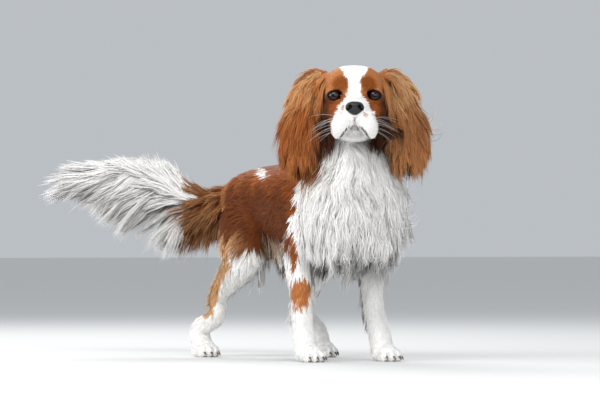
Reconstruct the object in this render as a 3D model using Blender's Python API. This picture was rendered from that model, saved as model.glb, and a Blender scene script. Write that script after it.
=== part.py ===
# A Cavalier King Charles spaniel, standing with its head turned to the right, life size.
# Metres, +Z up. The dog faces -Y and its left side is +X.
import math
import random

import bmesh
import bpy
import numpy as np
from mathutils import Matrix, Vector
from mathutils.bvhtree import BVHTree

# Driving dimensions of the dog
CHEST_HALF_WIDTH = 0.077
BACK_HEIGHT = 0.318
HEAD_CENTRE = Vector((-0.020, -0.060, 0.403))
HEAD_TURN = math.radians(-33)
HEAD_PITCH = math.radians(-8)
EYE_RADIUS = 0.0125
LID_THICKNESS = 0.0016
EYE_PLACE = Vector((0.0298, -0.0466, -0.001))

# Construction sizes
GAP = 0.0003
BODY_VOXEL = 0.0024
HEAD_VOXEL = 0.0012
BODY_TRIANGLES = 2800
HEAD_TRIANGLES = 2100
EAR_TRIANGLES = 240
ROOT_DEPTH = 0.006
SEED = 7
BIB_ROWS = 7
TAIL_TURNS = ((-85, -25, 50), (-50, 20, 90, 180))
LONG_LOCK = ((0.30, 0.28, 0.24, 0.18), (0.75, 1.0, 0.85, 0.5))
SHORT_LOCK = ((0.36, 0.36, 0.28), (0.8, 1.0, 0.65))
FLAT_ANGLES = (2.0, 1.0, 0.5, 0.2, 0.1, 0.05)
FAR = 0.4
FOOT_ROOM = 0.045

COLOURS = {
    "chestnut": (0.36, 0.12, 0.035),
    "white": (0.82, 0.80, 0.76),
    "nose": (0.02, 0.02, 0.022),
    "eye": (0.03, 0.015, 0.01),
}

HEAD = (
    Matrix.Translation(HEAD_CENTRE)
    @ Matrix.Rotation(HEAD_TURN, 4, "Z")
    @ Matrix.Rotation(HEAD_PITCH, 4, "X")
)


# Blender helpers

def clear_scene():
    for obj in list(bpy.data.objects):
        bpy.data.objects.remove(obj, do_unlink=True)


def material(name, roughness):
    made = bpy.data.materials.get(name)
    if made is None:
        made = bpy.data.materials.new(name)
        made.use_nodes = True
        shader = made.node_tree.nodes["Principled BSDF"]
        shader.inputs["Base Color"].default_value = (*COLOURS[name], 1)
        shader.inputs["Roughness"].default_value = roughness
        shader.inputs["Metallic"].default_value = 0
    return made


def finish(obj, name, colour, roughness=0.8):
    """Names a node, gives it its material and shades it."""
    obj.name = name
    obj.data.name = name
    obj.data.materials.clear()
    obj.data.materials.append(material(colour, roughness))
    obj.data.shade_smooth()
    obj.data.set_sharp_from_angle(angle=math.radians(50))
    return obj


def solid(name, points, faces, place=None):
    mesh = bpy.data.meshes.new(name)
    mesh.from_pydata([tuple(p) for p in points], [], faces)
    if place is not None:
        mesh.transform(place)
    obj = bpy.data.objects.new(name, mesh)
    bpy.context.scene.collection.objects.link(obj)
    return obj


def apply_modifiers(obj):
    graph = bpy.context.evaluated_depsgraph_get()
    old = obj.data
    made = bpy.data.meshes.new_from_object(obj.evaluated_get(graph))
    obj.modifiers.clear()
    obj.data = made
    bpy.data.meshes.remove(old)
    return obj


def remove(*objects):
    for obj in objects:
        bpy.data.objects.remove(obj, do_unlink=True)


def copy_of(obj, name):
    made = bpy.data.objects.new(name, obj.data.copy())
    bpy.context.scene.collection.objects.link(made)
    return made


def boolean(obj, cutter, operation, solver="EXACT"):
    """Applies one Boolean with a closed cutter, which stays in the scene."""
    modifier = obj.modifiers.new(operation, "BOOLEAN")
    modifier.operation = operation
    modifier.solver = solver
    modifier.object = cutter
    return apply_modifiers(obj)


def clear_of(obj, *others):
    """Cuts a node clear of its neighbours by the gap: each is taken away as it stands and moved each way."""
    moves = [Vector((0, 0, 0))]
    for axis in range(3):
        for way in (-GAP, GAP):
            moves.append(Vector([way if k == axis else 0 for k in range(3)]))
    for other in others:
        for move in moves:
            cutter = copy_of(other, "cutter")
            cutter.data.transform(Matrix.Translation(move))
            boolean(obj, cutter, "DIFFERENCE", "MANIFOLD")
            remove(cutter)
    return keep_largest(obj)


def keep_largest(obj):
    """Leaves only the largest closed surface of a mesh."""
    bm = bmesh.new()
    bm.from_mesh(obj.data)
    bmesh.ops.remove_doubles(bm, verts=bm.verts, dist=2e-6)
    left = set(bm.faces)
    groups = []
    while left:
        group = set()
        front = [left.pop()]
        while front:
            face = front.pop()
            group.add(face)
            for edge in face.edges:
                for other in edge.link_faces:
                    if other in left:
                        left.discard(other)
                        front.append(other)
        groups.append(group)
    groups.sort(key=lambda g: sum(f.calc_area() for f in g), reverse=True)
    drop = [face for group in groups[1:] for face in group]
    bmesh.ops.delete(bm, geom=drop, context="FACES")
    loose = [v for v in bm.verts if not v.link_faces]
    bmesh.ops.delete(bm, geom=loose, context="VERTS")
    bm.to_mesh(obj.data)
    bm.free()
    return obj


# Shapes: tubes through stations, balls, and their blend

def smooth_rows(rows, per_span):
    """Points on a smooth curve through the rows, with every column treated alike."""
    rows = np.array(rows, float)
    steps = np.maximum(np.linalg.norm(np.diff(rows[:, :3], axis=0), axis=1), 1e-6)
    slopes = np.diff(rows, axis=0) / steps[:, None]
    at = np.empty_like(rows)
    at[0], at[-1] = slopes[0], slopes[-1]
    for i in range(1, len(rows) - 1):
        a, b = steps[i - 1], steps[i]
        at[i] = (b * slopes[i - 1] + a * slopes[i]) / (a + b)
    made = []
    for i, step in enumerate(steps):
        for k in range(per_span):
            t = k / per_span
            made.append(
                (2 * t**3 - 3 * t**2 + 1) * rows[i]
                + (t**3 - 2 * t**2 + t) * step * at[i]
                + (3 * t**2 - 2 * t**3) * rows[i + 1]
                + (t**3 - t**2) * step * at[i + 1]
            )
    made.append(rows[-1])
    return np.array(made)


def tube(name, rows, across=(1, 0, 0), sides=28, per_span=4, power=2.2, place=None):
    """A closed tube. Each row is x, y, z, half width along across, and half sizes to either side of that."""
    rows = smooth_rows(rows, per_span)
    points = []
    for i, row in enumerate(rows):
        before, after = rows[max(i - 1, 0)], rows[min(i + 1, len(rows) - 1)]
        along = Vector(after[:3] - before[:3]).normalized()
        wide = Vector(across)
        wide = (wide - wide.dot(along) * along).normalized()
        high = wide.cross(along)
        for k in range(sides):
            turn = 2 * math.pi * k / sides
            c, s = math.cos(turn), math.sin(turn)
            c = math.copysign(abs(c) ** (2 / power), c)
            s = math.copysign(abs(s) ** (2 / power), s)
            rise = row[4] if s > 0 else row[5]
            points.append(Vector(row[:3]) + wide * (c * row[3]) + high * (s * rise))
    last = len(rows) - 1
    faces = [
        (
            i * sides + k,
            i * sides + (k + 1) % sides,
            (i + 1) * sides + (k + 1) % sides,
            (i + 1) * sides + k,
        )
        for i in range(last)
        for k in range(sides)
    ]
    faces.append(tuple(reversed(range(sides))))
    faces.append(tuple(last * sides + k for k in range(sides)))
    obj = solid(name, points, faces, place)
    face_outwards(obj)
    return obj


def face_outwards(obj):
    bm = bmesh.new()
    bm.from_mesh(obj.data)
    bmesh.ops.recalc_face_normals(bm, faces=bm.faces)
    bm.to_mesh(obj.data)
    bm.free()


def ball(name, centre, radii, turn=0.0, place=None, segments=20, rings=12):
    """An ellipsoid, turned about its own vertical."""
    bm = bmesh.new()
    bmesh.ops.create_uvsphere(bm, u_segments=segments, v_segments=rings, radius=1)
    mesh = bpy.data.meshes.new(name)
    bm.to_mesh(mesh)
    bm.free()
    shape = (
        Matrix.Translation(Vector(centre))
        @ Matrix.Rotation(turn, 4, "Z")
        @ Matrix.Diagonal((*radii, 1))
    )
    mesh.transform((place or Matrix.Identity(4)) @ shape)
    obj = bpy.data.objects.new(name, mesh)
    bpy.context.scene.collection.objects.link(obj)
    return obj


def blend(name, pieces, voxel, rounds, triangles):
    """Melts overlapping pieces into one closed surface of about that many triangles."""
    bm = bmesh.new()
    for piece in pieces:
        bm.from_mesh(piece.data)
    mesh = bpy.data.meshes.new(name)
    bm.to_mesh(mesh)
    bm.free()
    remove(*pieces)
    obj = bpy.data.objects.new(name, mesh)
    bpy.context.scene.collection.objects.link(obj)
    melt = obj.modifiers.new("melt", "REMESH")
    melt.mode = "VOXEL"
    melt.voxel_size = voxel
    soften = obj.modifiers.new("soften", "SMOOTH")
    soften.factor = 0.5
    soften.iterations = rounds
    apply_modifiers(obj)
    thin = obj.modifiers.new("thin", "DECIMATE")
    thin.ratio = min(1.0, triangles / (2 * len(obj.data.polygons)))
    thin.use_collapse_triangulate = True
    apply_modifiers(obj)
    return keep_largest(obj)


def hull(name, points):
    """The convex solid round some points, used as a cutting region."""
    bm = bmesh.new()
    verts = [bm.verts.new(p) for p in points]
    bmesh.ops.convex_hull(bm, input=verts)
    bmesh.ops.recalc_face_normals(bm, faces=bm.faces)
    mesh = bpy.data.meshes.new(name)
    bm.to_mesh(mesh)
    bm.free()
    obj = bpy.data.objects.new(name, mesh)
    bpy.context.scene.collection.objects.link(obj)
    return obj


def beyond(point, normal, reach=FAR, half=FAR, offset=0.0):
    """A block on the far side of a plane: the region past point along normal."""
    normal = Vector(normal).normalized()
    side = normal.orthogonal().normalized()
    other = normal.cross(side)
    foot = Vector(point) + normal * offset
    corners = [
        foot + side * (a * half) + other * (b * half) + normal * c
        for a in (-1, 1)
        for b in (-1, 1)
        for c in (0, reach)
    ]
    return hull("region", corners)


def part_off(whole, name, region):
    """Cuts the stretch of whole inside region(offset) off as its own object, with the gap between them."""
    inner = region(GAP / 2)
    piece = boolean(copy_of(whole, name), inner, "INTERSECT")
    outer = region(-GAP / 2)
    boolean(whole, outer, "DIFFERENCE")
    remove(inner, outer)
    keep_largest(whole)
    return keep_largest(piece)


# Locks of long hair

def surface_of(*objects):
    """One search tree over the faces of some closed objects."""
    points, faces = [], []
    for obj in objects:
        start = len(points)
        points += [v.co.copy() for v in obj.data.vertices]
        faces += [[start + i for i in p.vertices] for p in obj.data.polygons]
    return BVHTree.FromPolygons(points, faces)


def lock_path(skin, root, lie, length, thick, fall, chance, steps):
    """Points along one lock, and its first side direction: it starts in the coat, lies on it and falls free."""
    near, normal, _, _ = skin.find_nearest(root)
    flow = (lie - normal * lie.dot(normal)).normalized()
    place = near - normal * ROOT_DEPTH - flow * ROOT_DEPTH
    way = (flow + normal * 0.30).normalized()
    side = way.cross(normal).normalized()
    sway = chance.uniform(-0.28, 0.28)
    path = [place]
    for share in steps:
        way = (way + fall * 0.30 + side * sway).normalized()
        sway = -0.8 * sway
        place = place + way * (length + ROOT_DEPTH) * share
        near, normal, _, _ = skin.find_nearest(place)
        short = thick * 0.6 - (place - near).dot(normal)
        if short > 0:
            place = place + normal * short
        path.append(place)
    return path, side


def lock(skin, root, lie, length, width, thick, fall, chance, kind=SHORT_LOCK):
    """One flat, tapered lock of hair, diamond shaped across, running to a point."""
    steps, widths = kind
    path, side = lock_path(skin, root, lie, length, thick, fall, chance, steps)
    points, faces = [], []
    last = len(path) - 1
    for i, place in enumerate(path[:-1]):
        along = (path[i + 1] - path[max(i - 1, 0)]).normalized()
        side = (side - along * side.dot(along)).normalized()
        over = side.cross(along)
        half = width * widths[i] / 2
        rise = thick * widths[i] / 2
        points += [place + side * half, place + over * rise, place - side * half, place - over * rise]
    points.append(path[-1])
    tip = len(points) - 1
    for i in range(last - 1):
        for k in range(4):
            a, b = 4 * i + k, 4 * i + (k + 1) % 4
            faces += [(a, b, b + 4), (a, b + 4, a + 4)]
    for k in range(4):
        faces.append((4 * (last - 1) + k, 4 * (last - 1) + (k + 1) % 4, tip))
    faces += [(0, 3, 2), (0, 2, 1)]
    obj = solid("lock", points, faces)
    face_outwards(obj)
    return obj


def grow(node, locks):
    """Fuses locks into a node with one union."""
    group = bpy.data.collections.new("locks")
    for obj in locks:
        group.objects.link(obj)
    union = node.modifiers.new("locks", "BOOLEAN")
    union.operation = "UNION"
    union.solver = "EXACT"
    union.operand_type = "COLLECTION"
    union.collection = group
    apply_modifiers(node)
    remove(*locks)
    bpy.data.collections.remove(group)
    return merge_flat(keep_largest(node))


def merge_flat(obj):
    """Joins the slivers that a Boolean leaves in flat faces, by the widest angle that keeps every edge sound."""
    for degrees in FLAT_ANGLES:
        bm = bmesh.new()
        bm.from_mesh(obj.data)
        angle = math.radians(degrees)
        bmesh.ops.dissolve_limit(bm, angle_limit=angle, verts=bm.verts, edges=bm.edges)
        bmesh.ops.triangulate(bm, faces=bm.faces)
        sound = all(len(edge.link_faces) == 2 for edge in bm.edges)
        if sound:
            bm.to_mesh(obj.data)
        bm.free()
        if sound:
            break
    return obj


# The body's forms. Rows run along each form: x, y, z, half width, half sizes above and below.

def torso_form():
    w = CHEST_HALF_WIDTH
    rows = [
        (0, -0.100, 0.232, 0.30 * w, 0.026, 0.030),
        (0, -0.082, 0.234, 0.68 * w, 0.052, 0.058),
        (0, -0.045, 0.240, 0.92 * w, 0.068, 0.080),
        (0, 0.000, 0.244, 1.00 * w, BACK_HEIGHT - 0.244, 0.084),
        (0, 0.050, 0.246, 0.99 * w, BACK_HEIGHT - 0.246, 0.086),
        (0, 0.100, 0.248, 0.97 * w, BACK_HEIGHT - 0.250, 0.082),
        (0, 0.160, 0.251, 0.90 * w, BACK_HEIGHT - 0.255, 0.072),
        (0, 0.215, 0.254, 0.83 * w, BACK_HEIGHT - 0.262, 0.064),
        (0, 0.260, 0.252, 0.74 * w, BACK_HEIGHT - 0.268, 0.060),
        (0, 0.292, 0.248, 0.55 * w, 0.040, 0.044),
        (0, 0.308, 0.246, 0.25 * w, 0.020, 0.024),
    ]
    return tube("torso", rows)


def neck_form():
    rows = [
        (0.000, 0.030, 0.255, 0.066, 0.064, 0.066),
        (-0.002, 0.004, 0.295, 0.064, 0.058, 0.072),
        (-0.008, -0.016, 0.330, 0.058, 0.050, 0.064),
        (-0.014, -0.034, 0.365, 0.053, 0.046, 0.050),
        (-0.018, -0.048, 0.395, 0.046, 0.042, 0.036),
    ]
    return tube("neck", rows)


def bib_form():
    """The dense coat of the throat and chest under the long hair."""
    rows = [
        (-0.010, -0.066, 0.340, 0.040, 0.020, 0.016),
        (-0.008, -0.080, 0.300, 0.056, 0.028, 0.020),
        (-0.004, -0.086, 0.250, 0.066, 0.034, 0.022),
        (0.000, -0.078, 0.200, 0.060, 0.034, 0.022),
        (0.002, -0.056, 0.160, 0.042, 0.026, 0.018),
        (0.002, -0.044, 0.136, 0.016, 0.012, 0.010),
    ]
    return tube("bib", rows)


FORELEGS = {
    "right": {"x": -0.058, "foot": 0.008, "elbow": 0.040},
    "left": {"x": 0.062, "foot": -0.026, "elbow": 0.016},
}
HINDLEGS = {
    "right": {"hip": (-0.042, 0.228, 0.238), "knee": (-0.064, 0.182, 0.168),
              "hock": (-0.058, 0.279, 0.088), "foot": (-0.068, 0.304)},
    "left": {"hip": (0.042, 0.228, 0.238), "knee": (0.066, 0.166, 0.166),
             "hock": (0.077, 0.222, 0.088), "foot": (0.087, 0.190)},
}


def foreleg_form(side):
    size = FORELEGS[side]
    x, foot, elbow = size["x"], size["foot"], size["elbow"]
    rows = [
        (x * 0.86, elbow - 0.050, 0.250, 0.026, 0.036, 0.036),
        (x * 0.96, elbow - 0.020, 0.205, 0.025, 0.034, 0.032),
        (x, elbow, 0.165, 0.0210, 0.026, 0.024),
        (x, elbow - 0.006, 0.125, 0.0185, 0.022, 0.0195),
        (x, elbow - 0.012, 0.080, 0.0175, 0.020, 0.0175),
        (x, foot + 0.016, 0.045, 0.0170, 0.019, 0.0170),
        (x, foot + 0.008, 0.018, 0.0185, 0.020, 0.0185),
    ]
    return [tube("foreleg_" + side, rows, sides=20)] + foot_form(side, x, foot, 0.0200, 0.027)


def foot_form(side, x, y, half_width, half_length):
    """A round, feathered foot: the main mass and four toes side by side."""
    pieces = [ball("foot_" + side, (x, y, 0.012), (half_width, half_length, 0.017))]
    for share, ahead in ((-0.72, 0.52), (-0.26, 0.80), (0.26, 0.80), (0.72, 0.52)):
        centre = (x + share * half_width, y - ahead * half_length, 0.0085)
        pieces.append(ball("toe_" + side, centre, (0.0062, 0.0115, 0.0105)))
    return pieces


def hindleg_form(side):
    size = HINDLEGS[side]
    hip, knee, hock = (Vector(size[k]) for k in ("hip", "knee", "hock"))
    fx, fy = size["foot"]
    shin = knee.lerp(hock, 0.5)
    rows = [
        (*hip, 0.034, 0.052, 0.050),
        (*hip.lerp(knee, 0.55), 0.034, 0.052, 0.048),
        (*knee.lerp(hock, 0.04), 0.030, 0.040, 0.034),
        (*shin, 0.0215, 0.027, 0.022),
        (*(hock + Vector((0, -0.004, 0.008))), 0.0155, 0.0180, 0.0175),
        (*(hock + Vector((0, 0.000, -0.016))), 0.0145, 0.0165, 0.0165),
        (fx, fy + 0.014, 0.040, 0.0150, 0.0170, 0.0165),
        (fx, fy + 0.006, 0.018, 0.0170, 0.0180, 0.0180),
    ]
    return [tube("hindleg_" + side, rows, sides=20)] + foot_form(side, fx, fy, 0.0185, 0.0255)


def belly_form():
    """The dense coat under the belly, between the legs."""
    rows = [
        (0, 0.050, 0.170, 0.030, 0.012, 0.014),
        (0, 0.110, 0.174, 0.026, 0.012, 0.024),
        (0, 0.160, 0.184, 0.022, 0.012, 0.024),
        (0, 0.205, 0.196, 0.016, 0.012, 0.020),
    ]
    return tube("belly", rows)


# The tail's line, from its root towards the end of the plume
TAIL_LINE = [
    (0.000, 0.285, 0.270),
    (-0.013, 0.312, 0.261),
    (-0.030, 0.337, 0.253),
    (-0.056, 0.367, 0.257),
    (-0.086, 0.394, 0.281),
    (-0.118, 0.418, 0.296),
    (-0.152, 0.440, 0.300),
    (-0.195, 0.468, 0.298),
]


def tail_form():
    """The tail and the dense coat close about it."""
    sizes = [
        (0.022, 0.022, 0.022),
        (0.019, 0.019, 0.024),
        (0.015, 0.016, 0.030),
        (0.014, 0.016, 0.040),
        (0.014, 0.017, 0.046),
        (0.014, 0.017, 0.044),
        (0.012, 0.014, 0.034),
        (0.005, 0.006, 0.012),
    ]
    rows = [(*p, *s) for p, s in zip(TAIL_LINE, sizes)]
    return tube("tail", rows)


# The head's forms, in the head's own frame: nose towards -Y.

def skull_form():
    rows = [
        (0, -0.0880, -0.031, 0.0150, 0.011, 0.013),
        (0, -0.0800, -0.030, 0.0210, 0.014, 0.022),
        (0, -0.0680, -0.027, 0.0240, 0.014, 0.027),
        (0, -0.0575, -0.022, 0.0260, 0.016, 0.032),
        (0, -0.0490, -0.012, 0.0330, 0.029, 0.036),
        (0, -0.0380, -0.004, 0.0440, 0.045, 0.040),
        (0, -0.0180, 0.001, 0.0505, 0.053, 0.044),
        (0, 0.0050, 0.002, 0.0520, 0.053, 0.046),
        (0, 0.0300, 0.002, 0.0480, 0.047, 0.044),
        (0, 0.0500, 0.002, 0.0360, 0.034, 0.034),
        (0, 0.0600, 0.001, 0.0180, 0.018, 0.018),
    ]
    return tube("skull", rows, place=HEAD, power=2.6)


def face_forms():
    jaw = [
        (0, -0.0750, -0.0570, 0.0100, 0.007, 0.006),
        (0, -0.0690, -0.0575, 0.0140, 0.009, 0.009),
        (0, -0.0450, -0.0570, 0.0200, 0.014, 0.012),
        (0, -0.0150, -0.0520, 0.0300, 0.018, 0.018),
        (0, 0.0200, -0.0430, 0.0340, 0.018, 0.018),
    ]
    pieces = [tube("jaw", jaw, place=HEAD)]
    for s in (-1, 1):
        flew = [
            (0.0110 * s, -0.0745, -0.0255, 0.0100, 0.0120, 0.0080),
            (0.0145 * s, -0.0750, -0.0360, 0.0130, 0.0130, 0.0120),
            (0.0190 * s, -0.0730, -0.0480, 0.0150, 0.0140, 0.0140),
            (0.0240 * s, -0.0680, -0.0590, 0.0120, 0.0150, 0.0120),
            (0.0280 * s, -0.0630, -0.0675, 0.0055, 0.0080, 0.0060),
        ]
        pieces += [
            tube("flew", flew, sides=16, place=HEAD),
            ball("flew_back", (0.0262 * s, -0.0500, -0.0470), (0.0115, 0.0240, 0.0190), place=HEAD),
            ball("cheek", (0.0330 * s, -0.0200, -0.0200), (0.0190, 0.0300, 0.0270), place=HEAD),
            ball("under_eye", (0.0270 * s, -0.0400, -0.0240), (0.0150, 0.0190, 0.0150), place=HEAD),
            ball("brow", (0.0230 * s, -0.0420, 0.0170), (0.0150, 0.0120, 0.0110), place=HEAD),
            ball("lids", eye_place(s), (EYE_RADIUS + LID_THICKNESS,) * 3, place=HEAD),
        ]
    return pieces


def eye_place(s):
    """The centre of an eye, in the head's frame: s is 1 for the left and -1 for the right."""
    return Vector((s * EYE_PLACE.x, EYE_PLACE.y, EYE_PLACE.z))


def ear_line(side):
    """Rows of one ear: the leather and the dense coat close about it, half way to the hair's tips."""
    s = 1 if side == "left" else -1
    return [
        (0.040 * s, 0.006, 0.024, 0.014, 0.009, 0.009),
        (0.056 * s, 0.006, 0.032, 0.020, 0.011, 0.011),
        (0.071 * s, 0.006, 0.017, 0.027, 0.012, 0.012),
        (0.080 * s, 0.008, -0.015, 0.034, 0.012, 0.012),
        (0.087 * s, 0.010, -0.050, 0.035, 0.012, 0.012),
        (0.092 * s, 0.012, -0.080, 0.020, 0.008, 0.008),
    ]


def ear_across(side):
    return Vector((0.80 if side == "left" else -0.80, 0.60, 0))


def ear_form(side):
    flap = tube("ear_" + side, ear_line(side), across=ear_across(side), place=HEAD, power=2.0)
    s = 1 if side == "left" else -1
    cup = ball("cup", (0.068 * s, 0.022, -0.020), (0.013, 0.013, 0.032), turn=-0.64 * s, place=HEAD)
    boolean(flap, cup, "DIFFERENCE")
    remove(cup)
    return blend("ear_" + side, [flap], HEAD_VOXEL * 1.4, 2, EAR_TRIANGLES)


def build_eyes():
    made = []
    for side, s in (("left", 1), ("right", -1)):
        made.append(ball("eye_" + side, eye_place(s), (EYE_RADIUS,) * 3, place=HEAD, segments=16, rings=8))
    return made


def nose_form(grow=0.0):
    rows = [
        (0, -0.0945, -0.0275, 0.0085 + grow, 0.0060 + grow, 0.0065 + grow),
        (0, -0.0915, -0.0270, 0.0130 + grow, 0.0092 + grow, 0.0098 + grow),
        (0, -0.0860, -0.0265, 0.0142 + grow, 0.0105 + grow, 0.0102 + grow),
        (0, -0.0760, -0.0260, 0.0120 + grow, 0.0090 + grow, 0.0090 + grow),
    ]
    return tube("nose", rows, sides=12, per_span=2, place=HEAD, power=2.4)


def build_nose():
    """The nose leather with its two nostrils, each running out to a slit at the side."""
    nose = nose_form()
    for s in (-1, 1):
        hole = ball("nostril", (0.0072 * s, -0.0945, -0.0275), (0.0027, 0.0060, 0.0031),
                    place=HEAD, segments=10, rings=6)
        slit = ball("slit", (0.0112 * s, -0.0925, -0.0305), (0.0046, 0.0045, 0.0012),
                    place=HEAD, segments=10, rings=6)
        boolean(nose, hole, "DIFFERENCE")
        boolean(nose, slit, "DIFFERENCE")
        remove(hole, slit)
    return keep_largest(nose)


# Cutting regions between the parts. Each takes an offset that moves its face inwards.

def head_region(offset):
    normal = Vector((-0.10, -0.50, 0.86))
    return beyond((-0.018, -0.030, 0.362), normal, half=0.16, reach=0.2, offset=offset)


def neck_region(offset):
    normal = Vector((0, -0.35, 0.94))
    return beyond((0, -0.030, 0.322), normal, half=0.16, reach=0.2, offset=offset)


def tail_region(offset):
    return beyond((-0.004, 0.296, 0.267), (-0.25, 0.93, -0.10), half=0.14, reach=0.4, offset=offset)


def leg_region(s, groin, flank, front, back):
    """A wedge round one leg: its top slopes up from the groin to the flank."""

    def region(offset):
        (gx, gz), (fx, fz) = groin, flank
        drop = offset / math.cos(math.atan2(fz - gz, fx - gx))
        inner = 0.012 + offset
        corners = []
        for y, spread in ((front + offset, -FOOT_ROOM), (back - offset, 0)):
            corners += [
                (s * gx, y, gz - drop),
                (s * fx, y, fz - drop),
                (s * fx, y + spread, -0.02),
                (s * inner, y + spread, -0.02),
            ]
        return hull("leg_region", corners)

    return region


def chest_region(offset):
    return beyond((0, 0.078, 0.24), (0, -1, 0), half=0.3, reach=0.3, offset=offset)


def cut_flat(obj):
    """Stands a leg on the floor: everything under it is cut away."""
    floor = beyond((0, 0, 0), (0, 0, -1), half=FAR, reach=0.1)
    boolean(obj, floor, "DIFFERENCE")
    remove(floor)
    return keep_largest(obj)


def carve_eyes(head):
    """Sockets round the eyes, and the almond openings between the lids."""
    for s in (-1, 1):
        place = eye_place(s)
        socket = ball("socket", place, (EYE_RADIUS + GAP,) * 3, place=HEAD, segments=16, rings=8)
        boolean(head, socket, "DIFFERENCE")
        opening = ball("opening", place + Vector((s * 0.0018, -0.0150, 0)), (0.0120, 0.0135, 0.0084),
                       turn=s * 0.15, place=HEAD, segments=14, rings=8)
        boolean(head, opening, "DIFFERENCE")
        remove(socket, opening)
    return keep_largest(head)


def groove(head, line, half):
    """Cuts a narrow groove along a line laid on the head's surface, in the head's frame."""
    skin = surface_of(head)
    rows = []
    for point in line:
        near = HEAD.inverted() @ skin.find_nearest(HEAD @ Vector(point))[0]
        rows.append((*near, half, half, half))
    cutter = tube("groove", rows, sides=4, per_span=1, power=2, place=HEAD)
    boolean(head, cutter, "DIFFERENCE")
    remove(cutter)
    return keep_largest(head)


def carve_mouth(head):
    """The furrow under the nose, and the lip line from there back to both corners of the mouth."""
    groove(head, [(0, -0.0900, -0.0360), (0, -0.0900, -0.0440), (0, -0.0860, -0.0520)], 0.0010)
    for s in (-1, 1):
        lips = [
            (-0.0020 * s, -0.0850, -0.0520),
            (0.0090 * s, -0.0830, -0.0580),
            (0.0160 * s, -0.0780, -0.0660),
            (0.0240 * s, -0.0640, -0.0730),
            (0.0300 * s, -0.0500, -0.0700),
            (0.0340 * s, -0.0380, -0.0600),
        ]
        groove(head, lips, 0.0012)
    return head


def body_pieces():
    pieces = [torso_form(), neck_form(), bib_form(), belly_form(), skull_form(), tail_form()]
    for side in ("left", "right"):
        pieces += foreleg_form(side)
        pieces += hindleg_form(side)
    return pieces


def build_flesh():
    """The flesh nodes, melted together so that they meet face to face, and search trees of their skins."""
    whole = blend("whole", body_pieces(), BODY_VOXEL, 8, BODY_TRIANGLES)
    head_end = blend("head", [skull_form(), neck_form(), *face_forms()], HEAD_VOXEL, 4, HEAD_TRIANGLES)
    ears = {side: ear_form(side) for side in ("left", "right")}
    inner = head_region(GAP / 2)
    head = boolean(head_end, inner, "INTERSECT")
    skins = {
        "body": surface_of(whole),
        "ear_left": surface_of(ears["left"]),
        "ear_right": surface_of(ears["right"]),
        "all": surface_of(whole, head, *ears.values()),
    }
    outer = head_region(-GAP / 2)
    boolean(whole, outer, "DIFFERENCE")
    remove(inner, outer)
    keep_largest(head)
    keep_largest(whole)
    nodes = {"head": head}
    nodes["neck"] = part_off(whole, "neck", neck_region)
    nodes["tail"] = part_off(whole, "tail", tail_region)
    for side, s in (("left", 1), ("right", -1)):
        fore = leg_region(s, (0.026, 0.150), (0.120, 0.222), -0.045, 0.100)
        hind = leg_region(s, (0.030, 0.172), (0.120, 0.262), 0.126, 0.360)
        nodes["foreleg_" + side] = cut_flat(part_off(whole, "foreleg_" + side, fore))
        nodes["hindleg_" + side] = cut_flat(part_off(whole, "hindleg_" + side, hind))
    nodes["chest"] = part_off(whole, "chest", chest_region)
    nodes["torso"] = whole
    for side, ear in ears.items():
        nodes["ear_" + side] = ear
    return nodes, skins


# Where the locks grow

DOWN = Vector((0, 0, -1))


def root_from(skin, origin, direction):
    """The first point of the coat met from inside it."""
    return skin.ray_cast(Vector(origin), Vector(direction).normalized())[0]


def bib_locks(skins, chance):
    """Rows round the front of the chest, each hanging over the one below."""
    made = []
    for row in range(BIB_ROWS):
        share = row / (BIB_ROWS - 1)
        z = 0.298 - 0.150 * share
        spread = math.radians(106 - 66 * share**1.5)
        count = round(9 - 4.4 * share)
        for k in range(count):
            turn = spread * (2 * (k + 0.5 * (row % 2) * 0.6 + 0.2) / (count - 0.4) - 1)
            turn += chance.uniform(-0.06, 0.06)
            out = Vector((math.sin(turn), -math.cos(turn), 0))
            root = root_from(skins["body"], (-0.004, -0.030, z + chance.uniform(-0.005, 0.005)), out)
            lie = DOWN + out * 0.15 + Vector((0.30 * math.sin(turn), 0, 0))
            made.append(
                lock(skins["all"], root, lie, chance.uniform(0.056, 0.074) * (1 - 0.25 * share),
                     chance.uniform(0.014, 0.019), 0.006, DOWN, chance, LONG_LOCK)
            )
    return made


def ear_locks(skins, side, chance):
    """Rows down one ear, round its outer face and both its edges."""
    rows = smooth_rows(ear_line(side), 2)
    across = (HEAD.to_3x3() @ ear_across(side)).normalized()
    face = across.cross(Vector((0, 0, 1)))
    face = face if face.y < 0 else -face
    made = []
    for i, row in enumerate(rows[3:-1]):
        centre = HEAD @ Vector(row[:3])
        for k in range(4):
            turn = math.radians(-82 + 52 * k + (i % 2) * 16 + chance.uniform(-6, 6))
            out = across * math.sin(turn) + face * math.cos(turn)
            root = root_from(skins["ear_" + side], centre, out)
            lie = DOWN + across * (0.30 * math.sin(turn) + 0.06)
            made.append(
                lock(skins["all"], root, lie, chance.uniform(0.048, 0.064), chance.uniform(0.014, 0.018),
                     0.0045, DOWN, chance)
            )
    return made


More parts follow.
